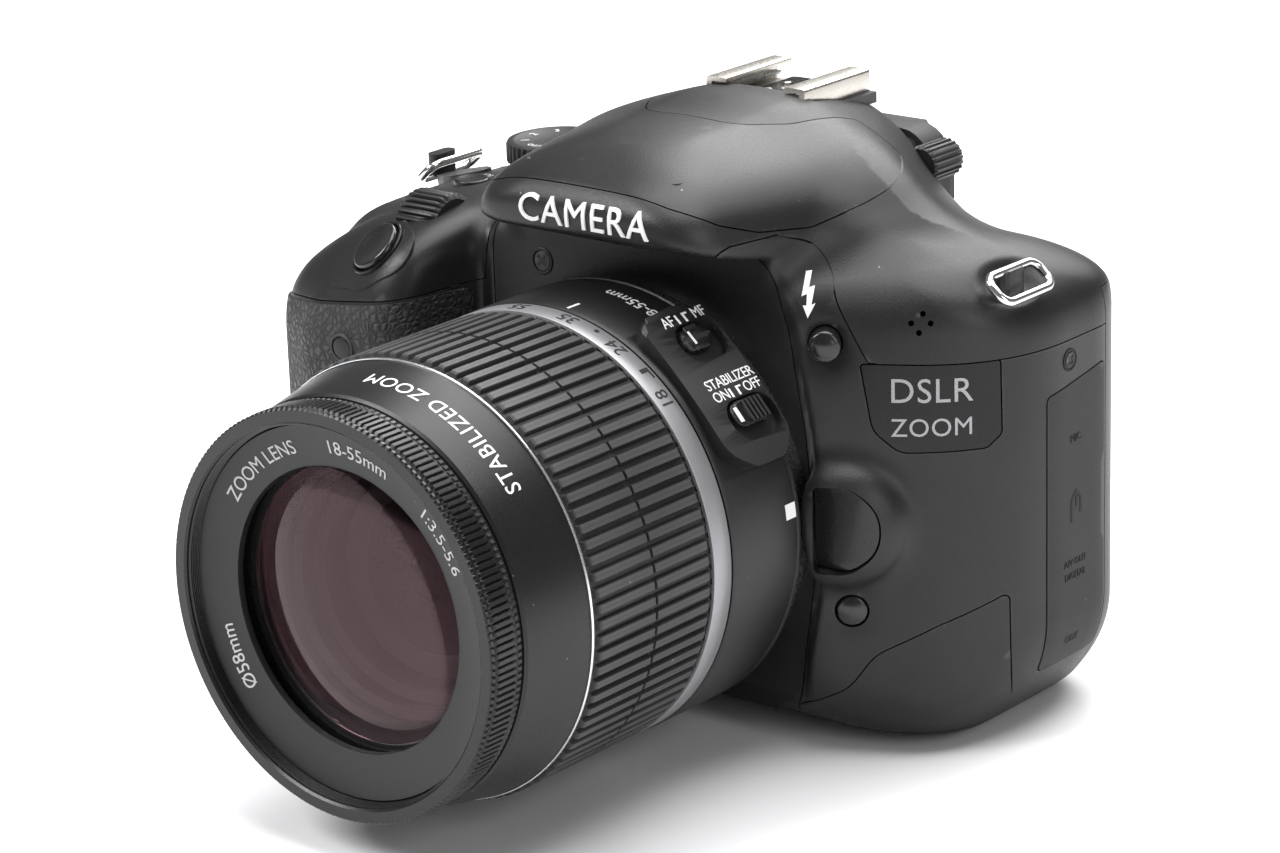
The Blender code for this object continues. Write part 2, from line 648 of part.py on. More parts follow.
def make_doors(model, covers):
    """Battery door in the base, card door in the grip's side, and the rubber cover of the sockets."""
    x0, x1, y0, y1 = -63.5, -45.5, -8.0, 30.5
    cut(covers["bottom"], model.tool("battery_opening", box(x0, x1, y0, y1, -60, -30)))
    door = box(x0 + GAP, x1 - GAP, y0 + GAP, y1 - GAP, BASE_Z, BASE_Z + 1.9)
    model.piece("battery_door", door, "shell", (x1 - GAP, 0, BASE_Z))
    slot = box(-90, -60.0, 33.5, 44.9, -18, 16)
    cut(covers["front"], model.tool("card_opening", slot))
    flap = box(LEFT_X + 0.1, LEFT_X + 1.8, 33.9, 44.5, -17.6, 15.6)
    model.piece("card_door", flap, "shell", (LEFT_X + 0.1, 33.9, 0))
    cut(covers["front"], model.tool("socket_opening", box(50, 90, 28.7, 44.9, -27.3, 18.3)))
    skin = box(RIGHT_X - 1.6, RIGHT_X - 0.1, 29.0, 44.6, -27, 18, 0.3)
    model.piece("terminal_cover", skin, "grip", (RIGHT_X - 0.1, 29.0, 0))
    block = model.piece("terminal_block", box(49.5, RIGHT_X - 2.2, 29.5, 44.0, -26, 17), "label")
    sockets = ((11, 2.0, 2.0), (1, 3.4, 1.8), (-9, 3.4, 1.8), (-19, 5.2, 1.6))
    for number, (z, half_y, half_z) in enumerate(sockets):
        socket = box(53.0, 70.0, 36.8 - half_y, 36.8 + half_y, z - half_z, z + half_z)
        cut(block, model.tool("socket_" + str(number), socket))


# ---------------------------------------------------------------- lens


def make_lens(model):
    mount = [(23.5, -1.6), (31.8, -1.6), (31.8, -GAP), (26.4, -GAP), (26.4, 2.8), (23.5, 2.8)]
    model.piece("lens_mount", turned(mount, 36), "lens")
    barrel_profile = [
        (23.5, -1.9), (33.2, -1.9), (34.6, -4.0), (BARREL_R, -9.0), (34.9, BARREL_FRONT_Y),
        (28.4, BARREL_FRONT_Y), (28.4, -44.0), (26.4, -44.0), (26.4, -6.0), (23.5, -6.0),
    ]
    barrel = model.piece("lens_barrel", turned(barrel_profile, 40), "lens")
    plate = rounded_outline([(-13, -17.5, 3), (13, -17.5, 3), (13, -2.6, 3), (-13, -2.6, 3)], 0, 3)
    panel = around_lens(prism(plate, "Z", 31.5, 36.2), 46)
    combine(barrel, model.tool("switch_panel", panel), "UNION")
    for name, angle in (("af_mf_switch", 34.5), ("stabilizer_switch", 57.5)):
        recess = box(-3.6, 3.6, -10.5, -4.9, 34.6, 40)
        cut(barrel, model.tool(name + "_recess", around_lens(recess, angle)))
        slider = box(-2.2, 0.2, -10.0, -5.4, 35.0, 37.4, 0.3)
        pivot = Matrix.Rotation(math.radians(angle), 3, "Y") @ Vector((0, -7.7, 35.0))
        model.piece(name, around_lens(slider, angle), "button", tuple(pivot))
    rear = BARREL_FRONT_Y - GAP
    zoom = [(31.9, -50.5), (34.2, -50.5), (ZOOM_R, -49.5), (ZOOM_R, rear), (31.9, rear)]
    model.piece("zoom_ring", turned(zoom, 40), "ribbed")
    tube = [
        (29.0, FOCUS_Y), (31.8, FOCUS_Y), (34.1, TRIM_Y - 0.9), (34.1, TRIM_Y),
        (31.4, TRIM_Y), (31.4, -26.0), (28.9, -26.0), (28.9, -55.0), (29.0, -55.0),
    ]
    model.piece("front_tube", turned(tube, 40), "lens")
    focus = [
        (28.4, -54.0), (26.0, -54.0), (26.0, -59.5), (21.9, -59.5), (21.9, -66.3), (28.9, -67.6),
        (29.2, FRONT_Y), (30.9, FRONT_Y), (31.7, -69.2), (31.7, FOCUS_Y - GAP), (28.4, FOCUS_Y - GAP),
    ]
    model.piece("focus_ring", turned(focus, 40), "lens")
    dome = [(0.0, -55.0), (GLASS_R, -55.0), (GLASS_R, -63.3)]
    for step in range(1, 5):
        angle = math.radians(90 - 90 * step / 4)
        dome.append((GLASS_R * math.sin(angle), -63.3 - 2.0 * math.cos(angle)))
    dome[-1] = (0.0, -65.3)
    model.piece("front_element", turned(dome, 36), "glass")


def main():
    model = Model()
    covers = make_covers(model)
    make_mount(model, covers)
    make_mirror(model)
    make_viewfinder(model, covers)
    make_inside(model)
    make_flash(model, covers)
    make_shoe(model, covers)
    make_tripod_socket(model, covers)
    make_lugs(model, covers)
    make_grip_rubber(model, covers)
    make_badge(model, covers)
    make_screen(model, covers)
    make_buttons(model, covers)
    make_dials(model, covers)
    make_doors(model, covers)
    make_lens(model)


main()
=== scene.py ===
"""Digital single-lens reflex camera with a standard zoom lens: the looks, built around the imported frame.

Lengths are millimetres in the lens frame until an object is made: origin at the centre of the lens flange, -Y
the way the lens points, +X the side with the sockets, +Z up. `world` puts them in the shared frame, in metres.
"""
import json
import math

import bmesh
import bpy
import numpy as np
from mathutils import Matrix, Vector

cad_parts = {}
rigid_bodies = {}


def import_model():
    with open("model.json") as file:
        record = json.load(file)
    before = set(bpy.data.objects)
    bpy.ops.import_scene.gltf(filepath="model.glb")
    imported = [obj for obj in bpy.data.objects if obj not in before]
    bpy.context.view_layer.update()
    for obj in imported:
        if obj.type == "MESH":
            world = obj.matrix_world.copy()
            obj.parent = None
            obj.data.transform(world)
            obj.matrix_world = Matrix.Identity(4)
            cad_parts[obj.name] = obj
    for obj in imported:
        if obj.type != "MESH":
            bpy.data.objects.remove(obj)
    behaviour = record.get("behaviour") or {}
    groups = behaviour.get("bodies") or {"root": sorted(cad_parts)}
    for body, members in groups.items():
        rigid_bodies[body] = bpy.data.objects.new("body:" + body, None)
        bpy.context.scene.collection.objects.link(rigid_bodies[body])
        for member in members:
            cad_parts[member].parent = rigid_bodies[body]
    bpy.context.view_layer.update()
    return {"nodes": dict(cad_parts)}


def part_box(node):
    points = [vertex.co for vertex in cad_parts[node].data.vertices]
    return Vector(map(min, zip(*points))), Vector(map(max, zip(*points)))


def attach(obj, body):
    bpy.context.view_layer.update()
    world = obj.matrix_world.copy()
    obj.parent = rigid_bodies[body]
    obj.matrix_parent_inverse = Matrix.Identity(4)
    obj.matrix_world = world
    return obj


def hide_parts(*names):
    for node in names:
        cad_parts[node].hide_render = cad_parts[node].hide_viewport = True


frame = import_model()
NODES = frame["nodes"]
MM = 0.001
ring_low, ring_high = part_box("focus_ring")
mount_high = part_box("lens_mount")[1]
MOUNT_DEPTH = 0.0028  # the bayonet reaches this far behind the flange
ORIGIN = np.array([
    (ring_low.x + ring_high.x) / 2, mount_high.y - MOUNT_DEPTH, (ring_low.z + ring_high.z) / 2])
GAP = 0.22  # width of a seam between two mouldings
WALL = 2.0  # thickness of the body's mouldings
UP, FORWARD, BACK, SIDE = (0, 0, 1), (0, -1, 0), (0, 1, 0), (1, 0, 0)


def cad(node):
    """A CAD node's box in millimetres, in the lens frame: (low, high)."""
    low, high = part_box(node)
    return (np.array(low) - ORIGIN) / MM, (np.array(high) - ORIGIN) / MM


BASE_Z = cad("bottom_cover")[0][2]
RIGHT_X = cad("front_cover")[1][0]
REAR_Y = cad("rear_cover")[1][1]
HUMP_Z = cad("top_cover")[1][2]
GRIP_X = cad("front_cover")[0][0]
DECK_Z = cad("mode_dial")[0][2] - 0.3


# ------------------------ materials

def shader_of(name):
    material = bpy.data.materials.new(name)
    material.use_nodes = True
    tree = material.node_tree
    return material, tree, tree.nodes["Principled BSDF"]


def link(tree, source, target):
    tree.links.new(source, target)


def texture(tree, kind, scale, coords, **settings):
    """A texture node; the settings are its sockets or, failing that, its properties."""
    node = tree.nodes.new(kind)
    node.inputs["Scale"].default_value = scale
    for key, value in settings.items():
        if key in node.inputs:
            node.inputs[key].default_value = value
        else:
            setattr(node, key, value)
    link(tree, coords, node.inputs["Vector"])
    return node


def ramp(tree, source, low, high, start, end):
    """A socket that goes from start to end while source goes from low to high."""
    node = tree.nodes.new("ShaderNodeMapRange")
    for key, value in (("From Min", low), ("From Max", high), ("To Min", start), ("To Max", end)):
        node.inputs[key].default_value = value
    link(tree, source, node.inputs["Value"])
    return node.outputs["Result"]


def mix_colour(tree, factor, a, b):
    node = tree.nodes.new("ShaderNodeMix")
    node.data_type = "RGBA"
    link(tree, factor, node.inputs["Factor"])
    for value, key in ((a, "A"), (b, "B")):
        sockets = [s for s in node.inputs if s.name == key and s.type == "RGBA"]
        if isinstance(value, tuple):
            sockets[0].default_value = (*value, 1.0)
        else:
            link(tree, value, sockets[0])
    return [s for s in node.outputs if s.type == "RGBA"][0]


def moulded(name, colour, rough, grain=0.0, grain_size=0.28, spread=0.08, dust=0.0, wear_and_edge_sheen=0.0, coat=0.0,
            metallic=0.0, tint=0.25, specular=0.36):
    """Moulded or machined surface: fine spark-eroded grain, slow gloss changes, dust specks, and convex edges
    painted lighter as rubbed wear and as a painted edge highlight.
    """
    material, tree, shader = shader_of(name)
    coords = tree.nodes.new("ShaderNodeTexCoord").outputs["Object"]
    slow = texture(tree, "ShaderNodeTexNoise", 45.0, coords, Detail=4.0, Roughness=0.6).outputs["Fac"]
    fine = texture(tree, "ShaderNodeTexNoise", 1.0 / (grain_size * MM), coords, Detail=3.0, Roughness=0.65)
    fine = fine.outputs["Fac"]
    shade = ramp(tree, slow, 0.3, 0.7, 0.0, 1.0)
    dark = tuple(c * (1 - tint) for c in colour)
    light = tuple(c * (1 + tint) for c in colour)
    base = mix_colour(tree, shade, dark, light)
    gloss = ramp(tree, fine, 0.3, 0.7, max(0.02, rough - spread), min(1.0, rough + spread))
    # convex edges are lightened by pointiness: rubbed wear, and a painted highlight along the edges in place
    # of rounded-edge sheen
    if wear_and_edge_sheen:
        geometry = tree.nodes.new("ShaderNodeNewGeometry").outputs["Pointiness"]
        rubbed_and_sheen_edges = ramp(tree, geometry, 0.53, 0.60, 0.0, wear_and_edge_sheen)
        base = mix_colour(tree, rubbed_and_sheen_edges, base, tuple(min(1.0, c * 4 + 0.03) for c in colour))
    if dust:
        cells = texture(tree, "ShaderNodeTexVoronoi", 210.0, coords, Randomness=1.0).outputs["Distance"]
        specks = ramp(tree, cells, 0.045, 0.02, 0.0, 1.0)
        patch = texture(tree, "ShaderNodeTexNoise", 24.0, coords, Detail=2.0).outputs["Fac"]
        patch = ramp(tree, patch, 0.42, 0.62, 0.0, dust)
        both = tree.nodes.new("ShaderNodeMath")
        both.operation = "MULTIPLY"
        link(tree, specks, both.inputs[0])
        link(tree, patch, both.inputs[1])
        base = mix_colour(tree, both.outputs[0], base, (0.32, 0.31, 0.29))
    link(tree, base, shader.inputs["Base Color"])
    link(tree, gloss, shader.inputs["Roughness"])
    shader.inputs["Metallic"].default_value = metallic
    shader.inputs["Specular IOR Level"].default_value = specular
    shader.inputs["Coat Weight"].default_value = coat
    shader.inputs["Coat Roughness"].default_value = 0.12
    if grain:
        bump = tree.nodes.new("ShaderNodeBump")
        bump.inputs["Strength"].default_value = 1.0
        bump.inputs["Distance"].default_value = grain * MM
        link(tree, fine, bump.inputs["Height"])
        link(tree, bump.outputs["Normal"], shader.inputs["Normal"])
    material.diffuse_color = (*colour, 1.0)
    return material


def leatherette(name):
    """Pebbled leather-look rubber: large irregular cells, fine wrinkles and shiny raised tops; the grooves
    between the cells are painted darker as shade.
    """
    material, tree, shader = shader_of(name)
    coords = tree.nodes.new("ShaderNodeTexCoord").outputs["Object"]
    warp = texture(tree, "ShaderNodeTexNoise", 300.0, coords, Detail=3.0)
    bent = tree.nodes.new("ShaderNodeVectorMath")
    bent.operation = "MULTIPLY_ADD"
    link(tree, warp.outputs["Color"], bent.inputs[0])
    bent.inputs[1].default_value = (0.0018, 0.0018, 0.0018)
    link(tree, coords, bent.inputs[2])
    cells = texture(tree, "ShaderNodeTexVoronoi", 820.0, bent.outputs[0], feature="DISTANCE_TO_EDGE")
    pebbles = ramp(tree, cells.outputs["Distance"], 0.0, 0.35, 0.0, 1.0)
    fine = texture(tree, "ShaderNodeTexNoise", 2600.0, coords, Detail=4.0, Roughness=0.7).outputs["Fac"]
    height = tree.nodes.new("ShaderNodeMath")
    height.operation = "MULTIPLY_ADD"
    link(tree, fine, height.inputs[0])
    height.inputs[1].default_value = 0.35
    link(tree, pebbles, height.inputs[2])
    bump = tree.nodes.new("ShaderNodeBump")
    bump.inputs["Distance"].default_value = 0.22 * MM
    link(tree, height.outputs[0], bump.inputs["Height"])
    link(tree, bump.outputs["Normal"], shader.inputs["Normal"])
    # the colour goes darker towards the grooves between the cells: painted shade in the grooves, lighter on
    # the raised tops
    base = mix_colour(tree, pebbles, (0.005, 0.005, 0.005), (0.022, 0.0215, 0.021))
    link(tree, base, shader.inputs["Base Color"])
    link(tree, ramp(tree, pebbles, 0.0, 1.0, 0.75, 0.46), shader.inputs["Roughness"])
    material.diffuse_color = (0.02, 0.02, 0.02, 1.0)
    return material


def clear_glass(name, colour, coat, rough=0.0, index=1.45):
    """Coated optical glass: it lets light through and its coating reflects purple."""
    material, tree, shader = shader_of(name)
    coords = tree.nodes.new("ShaderNodeTexCoord").outputs["Object"]
    shader.inputs["Roughness"].default_value = rough
    shade = texture(tree, "ShaderNodeTexNoise", 30.0, coords, Detail=1.0).outputs["Fac"]
    link(tree, mix_colour(tree, shade, colour, tuple(c * 0.85 for c in colour)), shader.inputs["Base Color"])
    shader.inputs["Transmission Weight"].default_value = 1.0
    shader.inputs["IOR"].default_value = index
    shader.inputs["Specular Tint"].default_value = (*coat, 1.0)
    material.diffuse_color = (*colour, 0.4)
    return material


MATS = {
    "body": moulded(
        "satin_body_plastic", (0.0085, 0.0087, 0.0092), 0.40, 0.035, 0.30, 0.07, dust=0.8, wear_and_edge_sheen=0.5),
    "lid": moulded("satin_lid_plastic", (0.0088, 0.0090, 0.0096), 0.37, 0.03, 0.30, 0.07, dust=0.8, wear_and_edge_sheen=0.5),
    "plate": moulded("dull_front_plastic", (0.0075, 0.0075, 0.0078), 0.52, 0.04, 0.30, 0.06, dust=0.6),
    "leather": leatherette("grained_leatherette"),
    "gloss": moulded(
        "gloss_black_plastic", (0.0055, 0.0055, 0.0060), 0.26, 0.010, 0.5, 0.05, dust=0.4, specular=0.26),
    "button": moulded("button_plastic", (0.0075, 0.0075, 0.0080), 0.30, 0.015, 0.3, 0.05, wear_and_edge_sheen=0.4),
    "shutter": moulded("polished_button", (0.0085, 0.0085, 0.0090), 0.25, 0.006, 0.5, 0.04, coat=0.3),
    "dial": moulded("dial_plastic", (0.0085, 0.0085, 0.0088), 0.42, 0.03, 0.3, 0.06, wear_and_edge_sheen=0.4, dust=0.5),
    "lens": moulded("lens_plastic", (0.0072, 0.0072, 0.0076), 0.36, 0.03, 0.26, 0.07, dust=0.9, wear_and_edge_sheen=0.4),
    "cone": moulded("smooth_cone_plastic", (0.0068, 0.0068, 0.0072), 0.32, 0.02, 0.26, 0.06, dust=0.9),
    "rim": moulded("black_rim_plastic", (0.0068, 0.0069, 0.0073), 0.30, 0.008, 0.3, 0.05, dust=0.3),
    "name": moulded("name_ring_plastic", (0.0085, 0.0088, 0.0092), 0.40, 0.010, 0.3, 0.05, dust=0.3),
    "ribs": moulded(
        "ribbed_rubber", (0.0135, 0.0135, 0.0135), 0.50, 0.03, 0.20, 0.10, dust=0.9, wear_and_edge_sheen=0.9, tint=0.4),
    "baffle": moulded("matte_baffle", (0.0045, 0.0045, 0.0047), 0.65, 0.03, 0.3, 0.05),
    "silver": moulded("silver_paint", (0.30, 0.30, 0.31), 0.42, 0.010, 0.25, 0.06, metallic=0.6, tint=0.04),
    "trim": moulded("bright_trim", (0.66, 0.67, 0.69), 0.22, 0.004, 0.4, 0.05, metallic=0.9, tint=0.03),
    "nickel": moulded("satin_nickel", (0.60, 0.57, 0.52), 0.30, 0.003, 0.5, 0.05, metallic=1.0, tint=0.06),
    "chrome": moulded("polished_steel", (0.74, 0.73, 0.71), 0.14, 0.004, 0.6, 0.05, metallic=1.0, tint=0.04),
    "steel": moulded("turned_steel", (0.52, 0.52, 0.53), 0.28, 0.010, 0.4, 0.06, metallic=1.0, tint=0.08),
    "screw": moulded("blackened_screw", (0.030, 0.030, 0.031), 0.35, 0.01, 0.3, 0.06, metallic=0.6),
    "rubber": moulded("smooth_rubber", (0.0110, 0.0110, 0.0112), 0.56, 0.03, 0.25, 0.06, dust=0.9, wear_and_edge_sheen=0.4),
    "white": moulded("white_print", (0.72, 0.72, 0.71), 0.45, 0.006, 0.3, 0.05, tint=0.04),
    "grey_ink": moulded("pale_print", (0.42, 0.42, 0.42), 0.45, 0.006, 0.3, 0.05, tint=0.05),
    "black_ink": moulded("black_print", (0.015, 0.015, 0.015), 0.50, 0.004, 0.3, 0.05),
    "screen": moulded("screen_cover", (0.0080, 0.0085, 0.0100), 0.07, 0.0, 0.6, 0.02, coat=0.6, dust=0.2),
    "board": moulded("green_board", (0.012, 0.085, 0.035), 0.40, 0.02, 0.8, 0.08, tint=0.3),
    "grey": moulded("grey_moulding", (0.10, 0.10, 0.105), 0.48, 0.03, 0.3, 0.06),
    "mirror": moulded("silvered_mirror", (0.86, 0.88, 0.90), 0.04, 0.0, 0.5, 0.01, metallic=1.0, tint=0.01),
    "glass": clear_glass("coated_front_glass", (0.80, 0.66, 0.68), (0.42, 0.20, 0.24)),
    "green_glass": clear_glass("coated_inner_glass", (0.62, 0.80, 0.62), (1.0, 0.92, 0.62), index=1.9),
    "pane": clear_glass("viewfinder_glass", (0.90, 0.92, 0.94), (0.5, 0.5, 0.55))}


# ------------------------ making and cutting meshes

def world(points):
    return np.asarray(points, float) * MM + ORIGIN


def put(name, data):
    """A new object in the scene's collection."""
    obj = bpy.data.objects.new(name, data)
    bpy.context.scene.collection.objects.link(obj)
    return obj


def make(name, points, faces, smooth=35.0):
    """A mesh object from points in millimetres and faces."""
    mesh = bpy.data.meshes.new(name)
    mesh.from_pydata([tuple(p) for p in world(points)], [], [tuple(map(int, f)) for f in faces])
    mesh.update()
    return soften(put(name, mesh), smooth)


def soften(obj, angle=35.0):
    """Smooth shading, with edges sharper than the angle kept sharp."""
    obj.data.shade_smooth()
    obj.data.set_sharp_from_angle(angle=math.radians(angle))
    return obj


def from_bmesh(name, bm, smooth=35.0):
    bmesh.ops.recalc_face_normals(bm, faces=bm.faces)
    bmesh.ops.scale(bm, vec=(MM, MM, MM), verts=bm.verts)
    bmesh.ops.translate(bm, vec=Vector(ORIGIN), verts=bm.verts)
    mesh = bpy.data.meshes.new(name)
    bm.to_mesh(mesh)
    bm.free()
    return soften(put(name, mesh), smooth)


def face_outward(obj):
    """Turns every face of a closed mesh outward."""
    bm = bmesh.new()
    bm.from_mesh(obj.data)
    bmesh.ops.recalc_face_normals(bm, faces=bm.faces)
    bm.to_mesh(obj.data)
    bm.free()
    return obj


def skin_normals(obj):
    """Shades the faces that lie on the body's skin with the form's own normals, and the cut faces flat."""
    mesh = obj.data
    p = np.empty(len(mesh.vertices) * 3)
    mesh.vertices.foreach_get("co", p)
    x, y, z = ((p.reshape(-1, 3) - ORIGIN) / MM).T
    h = 0.12
    slope = np.stack([
        body_form(x + h, y, z) - body_form(x - h, y, z), body_form(x, y + h, z) - body_form(x, y - h, z),
        body_form(x, y, z + h) - body_form(x, y, z - h)], 1)
    slope /= np.maximum(np.linalg.norm(slope, axis=1), 1e-6)[:, None]
    face_normal = np.empty(len(mesh.polygons) * 3)
    mesh.polygons.foreach_get("normal", face_normal)
    face_normal = face_normal.reshape(-1, 3)
    corner = np.empty(len(mesh.loops), np.int32)
    mesh.loops.foreach_get("vertex_index", corner)
    size = np.empty(len(mesh.polygons), np.int32)
    mesh.polygons.foreach_get("loop_total", size)
    face = np.repeat(np.arange(len(size)), size)
    wanted = slope[corner]
    lies = (wanted * face_normal[face]).sum(1) > 0.72
    mesh.normals_split_custom_set([tuple(n) for n in np.where(lies[:, None], wanted, face_normal[face])])
    return obj


def drop(*objs):
    """Removes tools that are no longer needed."""
    for obj in objs:
        mesh = obj.data
        bpy.data.objects.remove(obj, do_unlink=True)
        if mesh.users == 0:
            bpy.data.meshes.remove(mesh)


def apply(obj):
    """Bakes an object's modifiers into its mesh."""
    graph = bpy.context.evaluated_depsgraph_get()
    mesh = bpy.data.meshes.new_from_object(obj.evaluated_get(graph), depsgraph=graph)
    old = obj.data
    obj.modifiers.clear()
    obj.data = mesh
    bpy.data.meshes.remove(old)
    return obj


def carve(obj, *steps, solver="MANIFOLD"):
    """Runs (operation, tool) steps on obj: '-' cuts, '+' joins and '&' keeps what both share."""
    names = {"-": "DIFFERENCE", "+": "UNION", "&": "INTERSECT"}
    for operation, tool in steps:
        modifier = obj.modifiers.new("step", "BOOLEAN")
        modifier.operation = names[operation]
        modifier.solver = solver
        modifier.object = tool
    apply(obj)
    return obj


def copy_of(obj, name):
    new = obj.copy()
    new.data = obj.data.copy()
    new.name = name
    bpy.context.scene.collection.objects.link(new)
    return new


def finish_piece(obj, material, body, replaces=(), smooth=None):
    """Gives a piece its material, the body it rides on and the CAD nodes it stands in for."""
    if smooth is not None:
        soften(obj, smooth)
    obj.data.materials.clear()
    obj.data.materials.append(MATS[material] if isinstance(material, str) else material)
    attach(obj, body)
    if replaces:
        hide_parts(*replaces)
    return obj


def rounded(corners, steps=6):
    """A closed 2-D outline with each (u, v, radius) corner rounded; the corners may turn either way."""
    outline = []
    count = len(corners)
    for i, (u, v, radius) in enumerate(corners):
        corner = np.array([u, v], float)
        before = corner - np.array(corners[i - 1][:2], float)
        after = np.array(corners[(i + 1) % count][:2], float) - corner
        before /= np.linalg.norm(before)
        after /= np.linalg.norm(after)
        turn = before[0] * after[1] - before[1] * after[0]
        angle = math.acos(max(-1.0, min(1.0, float(before @ after))))
        if radius < 0.01 or angle < 0.02:
            outline.append(tuple(corner))
            continue
        side = 1 if turn > 0 else -1
        start = corner - before * radius * math.tan(angle / 2)
        centre = start + np.array([-before[1], before[0]]) * radius * side
        first = math.atan2(*(start - centre)[::-1])
        for k in range(steps + 1):
            theta = first + side * angle * k / steps
            outline.append((centre[0] + radius * math.cos(theta), centre[1] + radius * math.sin(theta)))
    return outline


def rectangle(u0, u1, v0, v1, radius=0.0, steps=6):
    return rounded([(u0, v0, radius), (u1, v0, radius), (u1, v1, radius), (u0, v1, radius)], steps)


def prism(outline, low, high, place):
    """An outline at two heights joined by walls: (bmesh, caps); place puts (a, b, height) in space."""
    bm = bmesh.new()
    rims = [[bm.verts.new(place(a, b, h)) for a, b in outline] for h in (low, high)]
    caps = [bm.faces.new(rim) for rim in rims]
    for i in range(len(outline)):
        j = (i + 1) % len(outline)
        bm.faces.new((rims[0][i], rims[0][j], rims[1][j], rims[1][i]))
    return bm, caps


def extrude(
    outline, low, high, u=(1, 0, 0), v=(0, 1, 0), origin=(0, 0, 0), bevel=0.0, both=False, name="tool",
    segments=3
):
    """An outline in the plane of u and v, extruded along their cross product.

    bevel rounds its far rim, or with both its two rims.
    """
    u, v, origin = Vector(u).normalized(), Vector(v).normalized(), Vector(origin)
    w = u.cross(v)
    bm, caps = prism(outline, low, high, lambda a, b, h: origin + u * a + v * b + w * h)
    if bevel:
        edges = [edge for cap in (caps if both else caps[1:]) for edge in cap.edges]
        bmesh.ops.bevel(bm, geom=edges, offset=bevel, segments=segments, profile=0.5, affect="EDGES",
                        clamp_overlap=True)
    return from_bmesh(name, bm)


def along(axis):
    """The (u, v) pair whose cross product is this axis."""
    return {"X": ((0, 1, 0), (0, 0, 1)), "Y": ((1, 0, 0), (0, 0, -1)), "Z": ((1, 0, 0), (0, 1, 0))}[axis]


def side_prism(outline, low, high, axis, **more):
    """A prism along X (outline in Y, Z), Y (outline in X, Z) or Z (outline in X, Y)."""
    u, v = along(axis)
    if axis == "Y":
        outline = [(a, -b) for a, b in outline]
    return extrude(outline, low, high, u, v, **more)


def lathe(profile, segments=128, centre=(0, 0, 0), axis=(0, 1, 0), name="turned", shape=None, smooth=35.0):
    """A closed (radius, height) profile turned about an axis; shape may change a ring's radius by angle."""
    angles = np.arange(segments) * 2 * math.pi / segments
    points, rings = [], []
    for radius, height in profile:
        if radius < 1e-6:
            rings.append([len(points)])
            points.append((0.0, height, 0.0))
            continue
        radii = shape(radius, height, angles) if shape else np.full(segments, radius)
        rings.append(list(range(len(points), len(points) + segments)))
        points += list(zip(radii * np.sin(angles), np.full(segments, height), radii * np.cos(angles)))
    faces = []
    for ring, after in zip(rings, rings[1:] + rings[:1]):
        if len(ring) == 1 and len(after) == 1:
            continue
        for k in range(segments):
            m = (k + 1) % segments
            loop = [ring[k % len(ring)], ring[m % len(ring)], after[m % len(after)], after[k % len(after)]]
            faces.append(tuple(dict.fromkeys(loop)))
    turn = Vector((0, 1, 0)).rotation_difference(Vector(axis)).to_matrix()
    points = np.array(points) @ np.array(turn).T + np.array(centre)
    return soften(face_outward(make(name, points, faces, smooth)), smooth)


def drill(radius, low, high, centre=(0, 0, 0), axis=(0, 1, 0), segments=64):
    """A round cutting tool from low to high along axis."""
    return lathe([(0, low), (radius, low), (radius, high), (0, high)], segments, tuple(centre), axis, "hole")


def arc(centre, radius, start, end, steps=5):
    """Points on an arc in a (radius, height) profile, angles in degrees."""
    return [(centre[0] + radius * math.cos(math.radians(a)), centre[1] + radius * math.sin(math.radians(a)))
            for a in np.linspace(start, end, steps)]


def disc(name, centre, axis, radius, low, high, bevel=0.3, dish=0.0, segments=64):
    """A round plug from low to high along axis, with a rounded rim and a dished (or domed) top."""
    profile = [(0.0, low), (radius, low), (radius, high - bevel)]
    profile += arc((radius - bevel, high - bevel), bevel, 0, 90, 5)[1:]
    inner = radius - bevel
    for k in range(1, 7):
        r = inner * (1 - k / 6)
        profile.append((r, high - dish * (1 - (r / inner) ** 2)))
    return lathe(profile, segments, centre, axis, name)


# ------------------------ the body's form as a distance field

def smooth_min(a, b, k):
    h = np.maximum(k - np.abs(a - b), 0.0) / k
    return np.minimum(a, b) - h * h * k * 0.25


def smooth_max(a, b, k):
    return -smooth_min(-a, -b, k)


def polygon(u, v, outline):
    """Signed distance to a closed 2-D outline, negative inside."""
    best = np.full(np.broadcast(u, v).shape, 1e9, np.float32)
    inside = np.zeros(best.shape, bool)
    points = np.array(outline, np.float32)
    for (ax, ay), (bx, by) in zip(points, np.roll(points, -1, axis=0)):
        ex, ey = bx - ax, by - ay
        wx, wy = u - ax, v - ay
        t = np.clip((wx * ex + wy * ey) / max(ex * ex + ey * ey, 1e-9), 0, 1)
        best = np.minimum(best, (wx - ex * t) ** 2 + (wy - ey * t) ** 2)
        crosses = (ay > v) != (by > v)
        if ey:
            inside ^= crosses & (u < ax + ex * (v - ay) / ey)
    return np.where(inside, -1, 1) * np.sqrt(best)


def table(keys, values, blur):
    """A smooth function through straight-line knots, rounded over blur."""
    fine = np.arange(keys[0] - 30, keys[-1] + 30, 0.1)
    line = np.interp(fine, keys, values)
    width = np.arange(-3 * blur, 3 * blur + 0.1, 0.1)
    kernel = np.exp(-0.5 * (width / blur) ** 2)
    padded = np.pad(line, len(width) // 2, mode="edge")
    smooth = np.convolve(padded, kernel / kernel.sum(), "valid")[: len(fine)]
    return lambda t: np.interp(t, fine, smooth).astype(np.float32)


def step(t, low, high):
    """A smooth step from 0 at low to 1 at high."""
    t = np.clip((t - low) / (high - low), 0, 1)
    return t * t * (3 - 2 * t)


